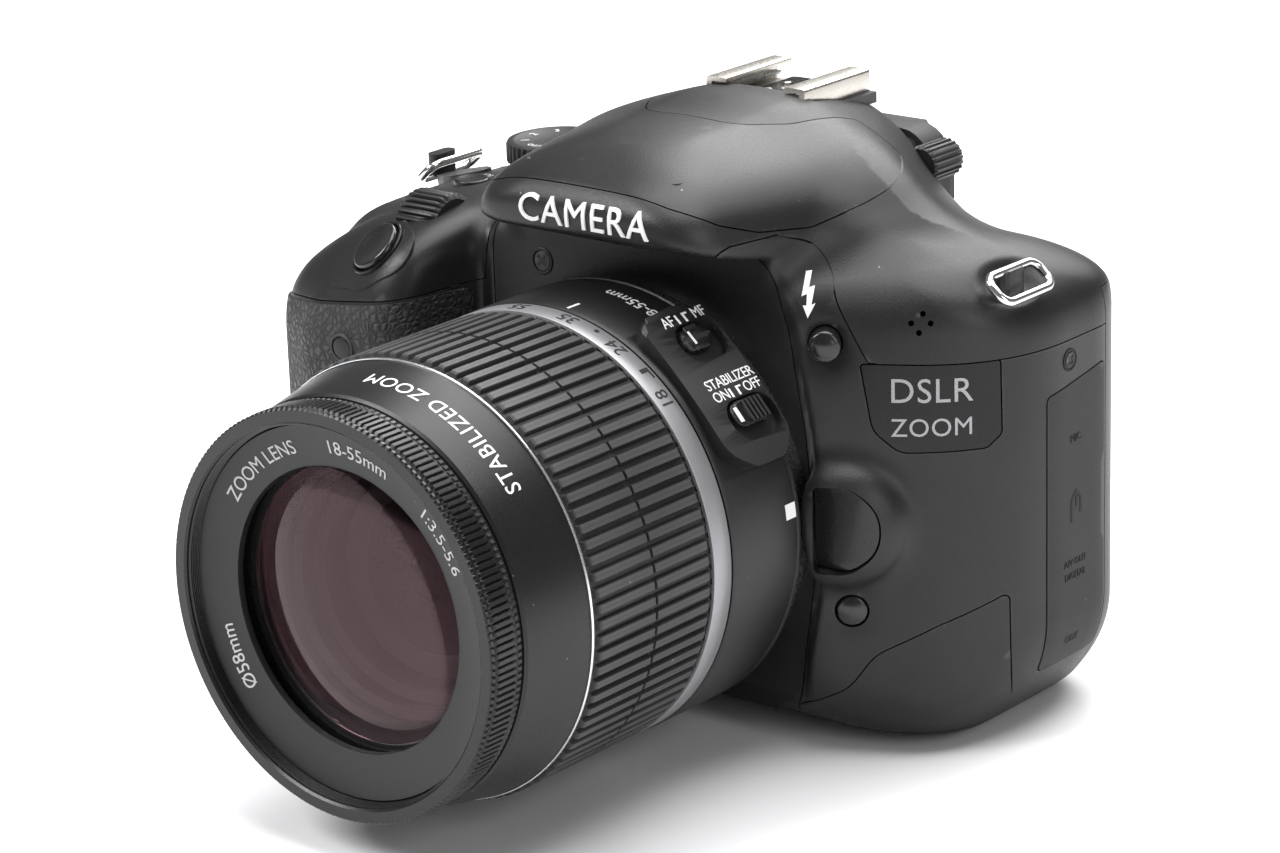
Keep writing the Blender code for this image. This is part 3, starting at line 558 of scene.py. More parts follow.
PLAN = rounded([
    (-66.0, 5.0, 5.0), (-34.0, 5.0, 3.0), (-31.5, 1.2, 2.0), (80.0, 1.2, 0.0), (80.0, REAR_Y, 0.0),
    (-66.0, REAR_Y, 10.0)], 8)
GRIP_PLAN = rounded([
    (GRIP_X, -6.0, 10.0), (-56.0, -14.0, 12.0), (-38.0, -13.4, 8.0), (-31.2, 8.0, 2.0), (-31.2, 30.0, 2.0),
    (-63.0, 32.0, 2.0), (GRIP_X, 22.0, 9.0),
], 8)
MOUNT_OPENING = rounded([
    (-31.2, -30.0, 6.0), (-20.0, -45.0, 3.0), (20.0, -45.0, 3.0), (31.0, -30.0, 14.0), (34.6, -5.0, 18.0),
    (32.8, 14.0, 18.0), (29.6, 31.0, 10.0), (25.5, 40.5, 4.0), (18.0, 44.0, 2.0), (-31.2, 44.0, 2.0),
], 8)
SLOPE = np.array([0.557, -0.831, 0.0])  # outward normal of the slanted front on the sockets' side
PLATFORM_CENTRE = np.array([-46.0, -7.2, 34.2])
PLATFORM_NORMAL = np.array([-0.295, -0.624, 0.724])
hump_front = table([30, 36, 41, 44, 49, 53, 57], [3.0, 3.0, -7.0, -12.4, -12.9, -11.6, -2.0], 0.9)
hump_half_front = table([30, 37, 42, 48, 52, 57], [27.0, 25.0, 22.4, 20.4, 18.2, 10.0], 1.2)
hump_half_back = table([30, 38, 44, 48, 52, 55, 57], [38.0, 36.5, 34.0, 31.5, 27.5, 22.0, 15.0], 1.6)
hump_taper = table([20, 32, 54], [0.0, 0.0, 15.5], 3.0)
hump_top = table([-16, -11, -4, 6, 18, 27, 46, 56], [51.8, 53.6, 55.3, 56.6, 57.2, 58.3, 57.8, 54.0], 2.2)
ridge_shift = table([0, 14, 30, 42, 60], [0.0, 0.6, 4.0, 11.0, 14.0], 3.0)


def slope_point(run, height, out=0.0):
    """A point on the slanted front: run along it from its inner edge, height in Z, out along its normal."""
    return np.array([33.0, 1.2, height]) + run * np.array([0.831, 0.557, 0.0]) + out * SLOPE


def ellipsoid(x, y, z, centre, radii):
    """Roughly the distance to an ellipsoid, negative inside."""
    k = np.sqrt(((x - centre[0]) / radii[0]) ** 2 + ((y - centre[1]) / radii[1]) ** 2
                + ((z - centre[2]) / radii[2]) ** 2)
    return (k - 1) * min(radii)


def body_form(x, y, z):
    """Signed distance (nearly) to the camera body's outer skin, negative inside."""
    plan = polygon(x, y, PLAN)
    fade = np.clip((58 - x) / 24, 0, 1)
    slant = (x + ridge_shift(z) * fade - 33.0) * SLOPE[0] + (y - 1.2) * SLOPE[1]
    block = smooth_max(plan, slant, 3.0)
    chin = -0.50 * (y - 1.2) - 0.866 * (z + 30.5) - np.clip(-31 - x, 0, 6) * 3
    shoulder = -0.34 * (x + 50.0) + 0.94 * (z - DECK_Z)
    for plane, blend in (
            (x - RIGHT_X, 13.0), (0.70 * (x - RIGHT_X + 1.0) - 0.715 * (z + 29.0), 7.0), (chin, 7.0),
            (BASE_Z - z, 3.5), (z - DECK_Z - 0.2, 10.0), (0.42 * (y - 42.0) + 0.907 * (z - DECK_Z), 5.0),
            (0.58 * (x - 49.5) + 0.815 * (z - DECK_Z), 6.0), (shoulder, 6.0)):
        block = smooth_max(block, plane, blend)
    grip = polygon(x, y, GRIP_PLAN)
    top = ((x - PLATFORM_CENTRE[0]) * PLATFORM_NORMAL[0] + (y - PLATFORM_CENTRE[1]) * PLATFORM_NORMAL[1]
           + (z - PLATFORM_CENTRE[2]) * PLATFORM_NORMAL[2])
    for plane, blend in (
            (top, 6.0), (z - DECK_Z - 0.2, 8.0), (shoulder, 6.0),
            (-0.64 * (x + 61.5) + 0.77 * (z - 34.0), 5.0), (BASE_Z - z, 5.0)):
        grip = smooth_max(grip, plane, blend)
    form = smooth_min(block, grip, 2.5)
    front = hump_front(z)
    run = np.clip((y - front) / 38.0, 0, 1)
    half = hump_half_front(z) * (1 - run) + hump_half_back(z) * run - hump_taper(y)
    hump = smooth_max((np.abs(x) - half) * 0.93, (front - y) * 0.97, 7.0)
    hump = smooth_max(hump, y - REAR_Y + 0.9, 6.0)
    crown = hump_top(y) - (x / 15.0) ** 2 * 1.25
    hump = smooth_max(hump, z - crown, 6.0)
    hump = np.maximum(hump, 18.0 - z)
    form = smooth_min(form, hump, 3.0 + 11.0 * step(y, 4.0, 22.0))
    form = smooth_max(form, y - REAR_Y, 1.6)
    run = (x - 33.0) * 0.831 + (y - 1.2) * 0.557
    out = (x - 33.0) * SLOPE[0] + (y - 1.2) * SLOPE[1]
    form = smooth_min(form, ellipsoid(run, out, z, (5.8, -0.4, 0.0), (10.4, 5.5, 10.2)), 2.0)
    plate = smooth_max(polygon(x, z, MOUNT_OPENING), y - 3.2, 1.2)
    plate = smooth_max(plate, z - 43.5, 1.0)
    form = smooth_max(form, -plate, 1.8)
    for centre, radii in POCKETS:
        form = smooth_max(form, -ellipsoid(x, y, z, centre, radii), 0.8)
    for centre, normal, radius, depth in DISHES:
        d = [a - b for a, b in zip((x, y, z), centre)]
        height = sum(a * b for a, b in zip(d, normal))
        square = sum(a * a for a in d) - height * height
        form = form + depth * np.exp(-np.clip(square, 0, None) / radius ** 2) * (np.abs(height) < 6)
    return form


LUG_RIGHT, LUG_LEFT = [sum(cad(n)) / 2 for n in ("strap_lug_right", "strap_lug_left")]
POCKETS = [(LUG_RIGHT + (1.5, 0.0, 3.2), (7.4, 11.0, 6.4)), (LUG_LEFT + (-2.0, 0.0, 3.4), (6.4, 10.5, 6.0))]
FLASH_SPOT, DEPTH_SPOT = slope_point(3.4, 28.4), slope_point(7.0, -14.0)
DISHES = [(FLASH_SPOT, SLOPE, 3.6, 1.4), (DEPTH_SPOT, SLOPE, 3.6, 0.7)]


def part_checkers(values):
    """Fills grid squares whose corners alternate in and out: two sheets would meet on their edge."""
    for _ in range(12):
        found = 0
        for axes in ((0, 1), (0, 2), (1, 2)):
            def square(i, j):
                cut = [slice(None)] * 3
                cut[axes[0]] = slice(i, values.shape[axes[0]] - 1 + i)
                cut[axes[1]] = slice(j, values.shape[axes[1]] - 1 + j)
                return values[tuple(cut)]
            a, b, c, d = square(0, 0) < 0, square(1, 0) < 0, square(0, 1) < 0, square(1, 1) < 0
            bad = (a == d) & (b == c) & (a != b)
            found += int(bad.sum())
            for (i, j), inside in (((0, 0), a), ((1, 0), b), ((0, 1), c), ((1, 1), d)):
                block = square(i, j)
                block[bad & ~inside] = -1e-3
        if not found:
            return


def net(field, low, high, pitch, name):
    """A closed mesh of field's zero surface: one point a cell, pulled onto the surface."""
    axes = [np.arange(a, b + pitch, pitch, dtype=np.float32) for a, b in zip(low, high)]
    X, Y, Z = axes[0][:, None, None], axes[1][None, :, None], axes[2][None, None, :]
    values = np.asarray(field(X, Y, Z), np.float32)
    part_checkers(values)
    inside = values < 0
    shape = tuple(n - 1 for n in values.shape)
    total = np.zeros(shape + (3,), np.float32)
    count = np.zeros(shape, np.float32)
    corners = [(i, j, k) for i in (0, 1) for j in (0, 1) for k in (0, 1)]

    def part(grid, corner):
        return grid[tuple(slice(c, c + n) for c, n in zip(corner, shape))]

    for a in corners:
        for axis in range(3):
            if a[axis]:
                continue
            b = tuple(c + (n == axis) for n, c in enumerate(a))
            va, vb = part(values, a), part(values, b)
            cross = (va < 0) != (vb < 0)
            t = np.where(cross, va / np.where(cross, va - vb, 1), 0)
            for n in range(3):
                total[..., n] += np.where(cross, a[n] + (t if n == axis else 0), 0)
            count += cross
    used = count > 0
    index = np.full(shape, -1, np.int64)
    index[used] = np.arange(used.sum())
    cells = np.argwhere(used)
    points = np.array([a[0] for a in axes]) + (cells + total[used] / count[used][:, None]) * pitch
    faces = []
    for axis in range(3):
        u, v = [n for n in range(3) if n != axis]
        lower = [slice(None)] * 3
        upper = [slice(None)] * 3
        lower[axis], upper[axis] = slice(0, -1), slice(1, None)
        change = inside[tuple(lower)] != inside[tuple(upper)]
        for i, j, k in np.argwhere(change):
            at = [i, j, k]
            if at[u] == 0 or at[v] == 0 or at[u] > shape[u] - 1 or at[v] > shape[v] - 1:
                continue
            quad = []
            for du, dv in ((-1, -1), (0, -1), (0, 0), (-1, 0)):
                c = list(at)
                c[u] += du
                c[v] += dv
                quad.append(index[tuple(c)])
            if inside[i, j, k] != (axis == 1):
                quad.reverse()
            faces.append(quad[::-1])
    h = 0.05
    for _ in range(4):
        x, y, z = points.T
        f = field(x, y, z)
        slope = np.stack([
            (field(x + h, y, z) - field(x - h, y, z)) / (2 * h),
            (field(x, y + h, z) - field(x, y - h, z)) / (2 * h),
            (field(x, y, z + h) - field(x, y, z - h)) / (2 * h),
        ], 1)
        size = np.maximum((slope ** 2).sum(1), 0.05)
        move = slope * (f / size)[:, None]
        longest = np.maximum(np.linalg.norm(move, axis=1) / (0.5 * pitch), 1)
        points = points - move / longest[:, None]
    return make(name, points, faces, 60.0)


def inflate(outline, by):
    """A closed outline moved outward by a distance along its corners' bisectors."""
    p = np.array(outline, float)
    keep = [i for i in range(len(p)) if np.linalg.norm(p[i] - p[i - 1]) > 1e-4]
    p = p[keep]
    area = 0.5 * np.sum(p[:, 0] * np.roll(p[:, 1], -1) - np.roll(p[:, 0], -1) * p[:, 1])
    before = p - np.roll(p, 1, axis=0)
    after = np.roll(p, -1, axis=0) - p
    before /= np.linalg.norm(before, axis=1)[:, None]
    after /= np.linalg.norm(after, axis=1)[:, None]
    normal = np.stack([before[:, 1] + after[:, 1], -before[:, 0] - after[:, 0]], 1) * (1 if area > 0 else -1)
    normal /= np.maximum(np.linalg.norm(normal, axis=1), 1e-6)[:, None]
    cosine = np.abs(normal[:, 0] * before[:, 1] - normal[:, 1] * before[:, 0])
    return [tuple(q) for q in p + normal * (by / np.maximum(cosine, 0.4))[:, None]]


def box_tool(low, high):
    return extrude(rectangle(low[0], high[0], low[1], high[1]), low[2], high[2])


def offset_body(by, pitch):
    """The body's solid grown outward by this much (or shrunk, if negative)."""
    low = (GRIP_X - 2.5, -18.0, BASE_Z - 2.5)
    high = (RIGHT_X + 2.5, REAR_Y + 2.5, HUMP_Z + 3.5)
    return net(lambda x, y, z: body_form(x, y, z) - by, low, high, pitch, "solid")


PITCH = 0.85
OUTER = offset_body(0.0, PITCH)
INNER = offset_body(-WALL, 2.0)


def skin_piece(name, steps, material, replaces=(), body="camera", start=OUTER):
    """A moulding cut from a solid of the body's form and shaded with the form's own normals."""
    piece = skin_normals(carve(copy_of(start, name), *steps))
    return finish_piece(piece, material, body, replaces)


# ------------------------ the cover mouldings

def leather_line(x):
    """Height at which the grip's leatherette meets the top cover."""
    return 28.3 + 0.155 * (x + 35.0)


TOP_OUTLINE = [
    (-95.0, leather_line(-95.0)), (-66.5, leather_line(-66.5)), (-36.0, leather_line(-36.0)), (-31.7, 29.2),
    (-31.6, 30.5), (-31.6, 41.2), (21.0, 41.2), (24.0, 44.4), (26.6, 44.7), (29.0, 42.5), (33.0, 37.5),
    (36.5, 32.5), (39.0, 28.5), (40.6, 25.8), (42.0, 25.6), (95.0, 25.6), (95.0, 90.0), (-95.0, 90.0)]
LID_OUTLINE = rounded([
    (-25.0, 53.4, 0.0), (-11.6, 53.4, 0.8), (-9.6, 50.4, 1.5), (-5.0, 47.6, 4.0), (1.0, 45.6, 6.0),
    (10.0, 44.8, 6.0), (18.0, 46.6, 6.0), (28.0, 48.6, 6.0), (36.6, 50.2, 0.0), (36.6, 75.0, 0.0),
    (-25.0, 75.0, 0.0)], 5)
SADDLE_OUTLINE = rounded([
    (-9.0, 16.4, 7.0), (9.0, 16.4, 7.0), (14.5, 24.0, 8.0), (17.6, 36.6, 0.5), (17.6, 80.0, 0.0),
    (-17.6, 80.0, 0.0), (-17.6, 36.6, 0.5), (-14.5, 24.0, 8.0)], 6)
SPLIT_Y, REAR_TOP, BASE_SPLIT = 46.0, 31.0, -35.6
PORT = rounded([
    (29.5, -27.8, 1.0), (45.2, -27.8, 1.0), (45.2, -10.0, 0.5), (44.3, -8.6, 1.5), (44.3, 3.6, 1.5),
    (45.2, 5.0, 0.5), (45.2, 19.8, 1.0), (29.5, 17.4, 1.0)], 4)


def top_region(by=0.0):
    """The space the top cover takes, its edges moved outward by this much."""
    region = side_prism(inflate(TOP_OUTLINE, by), -30, 70, "Y")
    behind = box_tool((-40.0, 14.0 - by, leather_line(-36.0) - by + 2.0), (27.0, 70.0, 60.0))
    carve(region, ("+", behind), solver="EXACT")
    drop(behind)
    return region


def lid_region(by=0.0):
    """The space the flash lid takes: the front of the hump, round the saddle that stays with the shoe."""
    region = side_prism(inflate(LID_OUTLINE, by), -40, 40, "X")
    saddle = extrude(inflate(SADDLE_OUTLINE, -by if by else 0.0), 30, 70)
    carve(region, ("-", saddle), solver="EXACT")
    drop(saddle)
    return region


def rear_region(by=0.0):
    return box_tool((-95, SPLIT_Y - by, -60), (95, 80, REAR_TOP + by))


top, top_wide = top_region(), top_region(GAP)
lid, lid_wide = lid_region(), lid_region(GAP)
rear, rear_wide = rear_region(), rear_region(GAP)
base, base_wide = box_tool((-95, -40, -60), (95, 80, BASE_SPLIT)), box_tool(
    (-95, -40, -60), (95, 80, BASE_SPLIT + GAP))


SLOPE_AXIS, PLATFORM_AXIS = tuple(SLOPE), tuple(PLATFORM_NORMAL)
flash_hole = drill(2.75, -5, 6, FLASH_SPOT, SLOPE_AXIS)
depth_hole = drill(2.7, -5, 6, DEPTH_SPOT, SLOPE_AXIS)
shutter_hole = drill(5.1, -6, 6, PLATFORM_CENTRE, PLATFORM_AXIS)
U_SLOPE, V_SLOPE = (0.831, 0.557, 0), (0, 0, 1)
RELEASE_D = rounded([
    (-3.6, -6.6, 0.8), (1.6, -6.8, 5.0), (6.3, -3.2, 6.0), (6.3, 3.2, 6.0), (1.6, 6.8, 5.0), (-3.6, 6.6, 0.8)
], 8)
RELEASE_SPOT = slope_point(5.2, 0.3)


def on_slope(outline, low, high, spot, **more):
    return extrude(outline, low, high, V_SLOPE, (-0.831, -0.557, 0), spot, **more)


def slope_outline(outline):
    """From (run, height) to the (u, v) of on_slope, whose third axis points out of the slope."""
    return [(v, -u) for u, v in outline]


release_hole = on_slope(slope_outline(inflate(RELEASE_D, 0.3)), -7, 12, RELEASE_SPOT)
BADGE = rounded([
    (-9.4, 7.0, 0.4), (11.6, 7.0, 0.4), (11.8, -4.6, 1.5), (9.6, -6.5, 1.5), (-3.6, -6.6, 4.0),
    (-7.6, -3.2, 4.0)], 6)
BADGE_SPOT = slope_point(18.2, 18.4)
badge_hole = on_slope(slope_outline(inflate(BADGE, GAP)), -9, 12, BADGE_SPOT)
port_wide = side_prism(inflate(PORT, GAP), 52, 70, "X")
mount_bore = drill(26.5, -10, 30, segments=96)
plate_region = side_prism(inflate(MOUNT_OPENING, -1.0), -5, 6, "Y")
plate_wide = side_prism(inflate(MOUNT_OPENING, -1.0 + GAP), -5, 6, "Y")


def strip(points, width):
    """The outline of a band this wide along a polyline."""
    p = np.array(points, float)
    way = np.gradient(p, axis=0)
    way /= np.linalg.norm(way, axis=1)[:, None]
    side = np.stack([-way[:, 1], way[:, 0]], 1) * width / 2
    return [tuple(q) for q in p + side] + [tuple(q) for q in (p - side)[::-1]]


SEAM = rounded([
    (-4.0, -33.5, 0.0), (-0.7, -30.7, 4.0), (6.5, -26.6, 8.0), (10.5, -21.2, 8.0), (20.5, -16.3, 20.0),
    (31.2, -12.2, 1.0), (31.6, -36.0, 0.0)], 8)
seam_cut = on_slope(slope_outline(strip(SEAM, GAP)), -8, 14, slope_point(0, 0))
mic_cut = [
    (
        "-", drill(0.45, -6, 6, (47.9 + dx, 11.2 + 0.62 * dx + 0.4 * dz, 32.6 + dz), (0.50, -0.76, 0.42), 20)
    ) for dx,
    dz in ((-1.25, 0.0), (1.25, 0.0), (0.0, 1.35), (0.0, -1.35))]
card_low, card_high = cad("card_door")
card_hole = box_tool(
    (card_low[0] - 3, card_low[1] - GAP, card_low[2] - GAP),
    (card_high[0] + 2, card_high[1] + GAP, card_high[2] + GAP))

front_cuts = (
    INNER, top_wide, rear_wide, base_wide, plate_wide, flash_hole, depth_hole, release_hole, badge_hole,
    port_wide, mount_bore, card_hole, seam_cut)
skin_piece("front_shell", [("-", tool) for tool in front_cuts], "body", replaces=("front_cover",))
skin_piece("mount_plate", [("-", INNER), ("&", plate_region), ("-", mount_bore), ("-", top_wide)], "plate")

shoe_low, shoe_high = cad("hot_shoe")
shoe_cut = box_tool((shoe_low[0] - 0.4, shoe_low[1] + 1.2, shoe_high[2] - 3.6), (shoe_high[0] + 0.4, 80, 80))
shoe_floor = box_tool(
    (shoe_low[0] - 0.6, shoe_low[1] + 1.0, shoe_high[2] - 5.4),
    (shoe_high[0] + 0.6, shoe_high[1] + 0.2, shoe_high[2] - 3.6))
dial_low, dial_high = cad("mode_dial")
dial_well = drill(9.45, dial_low[2] - 0.15, 70, (*((dial_low + dial_high) / 2)[:2], 0), UP, 96)
top_steps = [("-", INNER), ("+", shoe_floor), ("&", top), ("-", rear_wide), ("-", lid_wide), ("-", shoe_cut),
             ("-", flash_hole), ("-", shutter_hole), ("-", dial_well), *mic_cut]
skin_piece("top_shell", top_steps, "body", replaces=("top_cover",))
skin_piece("rear_shell", [("-", INNER), ("&", rear), ("-", base_wide)], "body", replaces=("rear_cover",))
door_low, door_high = cad("battery_door")
door_hole = box_tool(door_low - (GAP, GAP, 3), door_high + (GAP, GAP, 3))
socket_hole = drill(6.2, -50, -20, (0, 26, 0), UP)
skin_piece("base_shell", [("-", INNER), ("&", base), ("-", door_hole), ("-", socket_hole)], "body",
           replaces=("bottom_cover",))
skin_piece("flash_lid", [("-", INNER), ("&", lid)], "lid", replaces=("flash_head",), body="flash")

# ------------------------ grip leather, platform, small covers

SKIN = offset_body(0.45, PITCH)
UNDER = offset_body(-0.7, 1.8)
LEATHER_GAP = 0.6
leather_outline = rounded(
    [(-80.0, -31.8, 0.0), (-34.0, -31.8, 2.0)] + [
        (x, leather_line(x) - LEATHER_GAP, radius) for x, radius in ((-33.2, 1.0), (-66.5, 0.0), (-80.0, 0.0))
    ],
    4)
leather_region = side_prism(leather_outline, -30, 23.5, "Y")
skin_piece(
    "grip_leather", [("-", UNDER), ("&", leather_region)], "leather", ("grip_rubber",),
    start=SKIN)

PLATFORM_POINTS = [(-60.2, -6.7, 27.8), (-58.6, 2.3, 36.2), (-47.0, -0.5, 38.5), (-38.8, -6.0, 37.1),
                   (-37.6, -10.7, 33.4), (-45.1, -12.7, 28.8), (-52.4, -10.8, 27.2)]
PLATFORM_RADII = (6.0, 6.5, 8.0, 6.0, 5.0, 6.5, 6.0)
normal = Vector(PLATFORM_NORMAL).normalized()
plat_u = Vector(SIDE)
plat_u = (plat_u - normal * plat_u.dot(normal)).normalized()
plat_v = normal.cross(plat_u)
platform_corners = []
for point, radius in zip(PLATFORM_POINTS, PLATFORM_RADII):
    offset = Vector(point) - Vector(PLATFORM_CENTRE)
    platform_corners.append((offset.dot(plat_u), offset.dot(plat_v), radius))
platform_region = extrude(rounded(platform_corners, 8), -6, 8, plat_u, plat_v, PLATFORM_CENTRE)
skin_piece(
    "shutter_platform", [("-", UNDER), ("&", platform_region), ("-", shutter_hole), ("-", leather_region)],
    "lid", start=offset_body(0.28, PITCH))
badge_region = on_slope(slope_outline(BADGE), -9, 12, BADGE_SPOT)
skin_piece("badge", [("-", UNDER), ("&", badge_region), ("-", top_region(GAP))], "gloss",
           ("badge_plate",))
port_skin = offset_body(0.12, PITCH)
port_inner = offset_body(-1.3, 1.8)
skin_piece("port_cover", [("-", port_inner), ("&", side_prism(PORT, 52, 70, "X"))], "rubber",
           ("terminal_cover",), "terminal_cover", port_skin)

# ------------------------ lettering and marks

def flat_text(text, height, depth=0.05, spacing=1.0):
    """Generic lettering as a closed flat mesh from u = 0, centred on v = 0: (points, faces, width)."""
    curve = bpy.data.curves.new("letters", "FONT")
    curve.body = text
    curve.size = height * 1.38
    curve.space_character = spacing
    curve.extrude = depth / 2
    curve.resolution_u = 4
    obj = put("letters", curve)
    bpy.context.view_layer.update()
    mesh = bpy.data.meshes.new_from_object(obj.evaluated_get(bpy.context.evaluated_depsgraph_get()))
    bm = bmesh.new()
    bm.from_mesh(mesh)
    bmesh.ops.remove_doubles(bm, verts=bm.verts, dist=1e-4)
    long = [e for e in bm.edges if e.calc_length() > 0.5]
    bmesh.ops.subdivide_edges(bm, edges=long, cuts=2)
    bmesh.ops.triangulate(bm, faces=bm.faces)
    bm.verts.index_update()
    points = np.array([v.co for v in bm.verts], float)
    faces = [[v.index for v in f.verts] for f in bm.faces]
    bm.free()
    bpy.data.objects.remove(obj)
    bpy.data.curves.remove(curve)
    bpy.data.meshes.remove(mesh)
    points[:, 1] -= height / 2
    return points, faces, float(points[:, 0].max())


def on_barrel(points, radius, height, angle):
    """Flat (u, v, w) points laid on the barrel: u runs round it, v along it, w outwards."""
    u, v, w = np.asarray(points, float).T
    theta = math.radians(angle) + u / radius
    r = radius + w
    return np.stack([r * np.sin(theta), height + v, r * np.cos(theta)], 1)


def on_cone(points, radius, height, angle, lean):
    """Flat points laid on the name ring: u runs round it, v towards its rim, w out of it; lean in degrees."""
    u, v, w = np.asarray(points, float).T
    theta = math.radians(angle) + u / radius
    c, s = math.cos(math.radians(lean)), math.sin(math.radians(lean))
    r = radius + v * c + w * s
    y = height - v * s - w * c
    return np.stack([r * np.sin(theta), y, r * np.cos(theta)], 1)


def on_plane(points, origin, u, v):
    u, v = Vector(u).normalized(), Vector(v).normalized()
    basis = np.array([u, v, u.cross(v)])
    return np.asarray(points, float) @ basis + np.array(origin)


def outline_mesh(outline, depth=0.05):
    """A closed flat plate from a 2-D outline, as (points, faces)."""
    n = len(outline)
    points = [(a, b, -depth / 2) for a, b in outline] + [(a, b, depth / 2) for a, b in outline]
    faces = [list(range(n))[::-1], list(range(n, 2 * n))]
    faces += [[i, (i + 1) % n, n + (i + 1) % n, n + i] for i in range(n)]
    return np.array(points, float), faces


def joined(parts):
    """Several (points, faces) as one."""
    points, faces, start = [], [], 0
    for p, f in parts:
        points.append(np.asarray(p, float))
        faces += [[i + start for i in face] for face in f]
        start += len(p)
    return np.concatenate(points), faces


def marks(name, parts, material, body):
    """A piece made of printed shapes."""
    points, faces = joined(parts)
    return finish_piece(face_outward(make(name, points, faces, 20)), material, body, smooth=20)


def bar(u0, u1, v0, v1, pieces=4):
    """A small rectangle, with points along its longer side so that it can bend."""
    across = np.linspace(u0, u1, pieces + 1)
    return [(u, v0) for u in across] + [(u, v1) for u in across[::-1]]


# ------------------------ the lens

BARREL_R = 35.0
GLASS_R, GLASS_Y = 21.6, -65.3  # the front element's edge radius and front vertex
PRINT = 0.02  # print stands this far off the surface under it

barrel = lathe([
    (27.0, -1.9), (34.4, -1.9), (35.0, -2.5), (35.0, -2.9), (34.75, -3.1), (34.75, -3.5), (35.0, -3.7),
    (35.0, -18.3), (34.7, -18.9), (33.4, -18.9), (33.0, -19.4), (33.0, -43.0), (30.4, -43.0), (30.4, -8.0),
    (27.0, -6.0)], 192, name="fixed_barrel")
PANEL_AT, PANEL_RISE = 46.0, 36.3  # the switch panel's angle round the barrel and its outer radius


def around(
    outline, low, high, at, radius=BARREL_R, name="panel", bevel=0.0, arc_step=1.2, flat=0.0, pad=None
):
    """A pad that follows the barrel: outline as (u round it, v along it), from radius low to radius high.

    flat from 0 to 1 lets its top leave the cylinder for a plane tangent at the angle `pad`.
    """
    pad = at if pad is None else pad
    bm, caps = prism(outline, low, high, lambda a, b, h: (a, b, h))
    if bevel:
        bmesh.ops.bevel(bm, geom=list(caps[1].edges), offset=bevel, segments=4, profile=0.5, affect="EDGES")
    spread = max(a for a, _ in outline)
    count = int(spread / arc_step)
    for cut in [k * arc_step for k in range(-count, count + 1)]:
        bmesh.ops.bisect_plane(
            bm, geom=list(bm.verts) + list(bm.edges) + list(bm.faces), plane_co=(cut, 0, 0),
            plane_no=(1, 0, 0))
    for vert in bm.verts:
        u, v, r = vert.co
        theta = math.radians(at) + u / radius
        r /= math.cos(flat * (theta - math.radians(pad)))
        vert.co = (r * math.sin(theta), v, r * math.cos(theta))
    return from_bmesh(name, bm, 40)


FLAT = 0.85  # how flat the panel's top is, from 0 (round) to 1
AF_AT, STAB_AT, SLOT_Y = 35.0, 57.0, -8.1
panel_outline = rounded([
    (-12.6, -17.6, 2.5), (10.6, -17.6, 4.0), (13.6, -13.4, 3.0), (13.6, -6.4, 3.5), (10.4, -2.5, 3.0),
    (-9.8, -2.5, 3.5), (-13.2, -8.0, 3.5)], 6)
panel = around(panel_outline, 33.0, PANEL_RISE, PANEL_AT, bevel=0.9, flat=FLAT)
for at, length in ((AF_AT, 4.9), (STAB_AT, 5.4)):
    slot_outline = rectangle(-3.2, 3.3, SLOT_Y - length, SLOT_Y + length, 3.0, 8)
    slot_cut = around(slot_outline, 35.0, 44.0, at, flat=FLAT, pad=PANEL_AT)
    carve(panel, ("-", slot_cut))
    drop(slot_cut)
carve(barrel, ("+", panel))
drop(panel)
barrel.name = "fixed_barrel"
finish_piece(barrel, "lens", "lens", ("lens_barrel",), smooth=32)

af_slider = around(rectangle(-2.9, 1.1, -11.4, -5.0, 1.9, 7), 34.6, 36.15, AF_AT, bevel=0.9, arc_step=0.8,
                   name="af_mf_slider", flat=FLAT, pad=PANEL_AT)
finish_piece(af_slider, "button", "af_mf_switch", ("af_mf_switch",))
stab_slider = around(
    rounded([(-2.9, -11.9, 1.9), (1.1, -11.9, 1.9), (1.1, -4.7, 1.0), (-2.9, -4.7, 1.0)], 7), 34.6, 35.9,
    STAB_AT, bevel=0.25, arc_step=0.8, name="stabilizer_slider", flat=FLAT, pad=PANEL_AT)
for k in range(5):
    v = -9.3 + k * 0.95
    rib = around(
        rectangle(-2.6, 0.8, v - 0.26, v + 0.26, 0.1), 35.4, 36.9, STAB_AT, bevel=0.14, arc_step=1.0,
        flat=FLAT, pad=PANEL_AT)
    carve(stab_slider, ("+", rib))
    drop(rib)
finish_piece(stab_slider, "button", "stabilizer_switch", ("stabilizer_switch",))

white = []
index = outline_mesh(rectangle(-0.22, 0.22, -1.4, 1.4))
white.append((on_barrel(index[0], BARREL_R + PRINT, -16.9, 5.7), index[1]))
square = outline_mesh(bar(-1.2, 1.2, -1.2, 1.2))
white.append((on_barrel(square[0], BARREL_R + PRINT, -4.6, 82.7), square[1]))


def on_panel(u, v, w, radius, y, at):
    """Points on the switch panel, or on a cover `radius` out: u round the barrel, v along it, w outward."""
    theta = math.radians(at) + u / BARREL_R
    r = radius / np.cos(FLAT * (theta - math.radians(PANEL_AT))) + w
    return np.stack([r * np.sin(theta), y + v, r * np.cos(theta)], 1)


def panel_print(shape, y, at):
    """Print on the panel that reads from its front edge towards the camera body."""
    points, faces = shape
    u, v, w = np.asarray(points, float).T
    return on_panel(-v, u, w, PANEL_RISE + PRINT, y, at), faces


def letters(text, height, spacing=1.0, depth=0.06):
    points, faces, width = flat_text(text, height, depth, spacing)
    points[:, 0] -= width / 2
    return points, faces


def user_print(shape, radius, y, at):
    """Print round the barrel that the person behind the camera reads."""
    points, faces = shape
    return on_barrel(np.asarray(points, float) * (-1, -1, 1), radius, y, at), faces


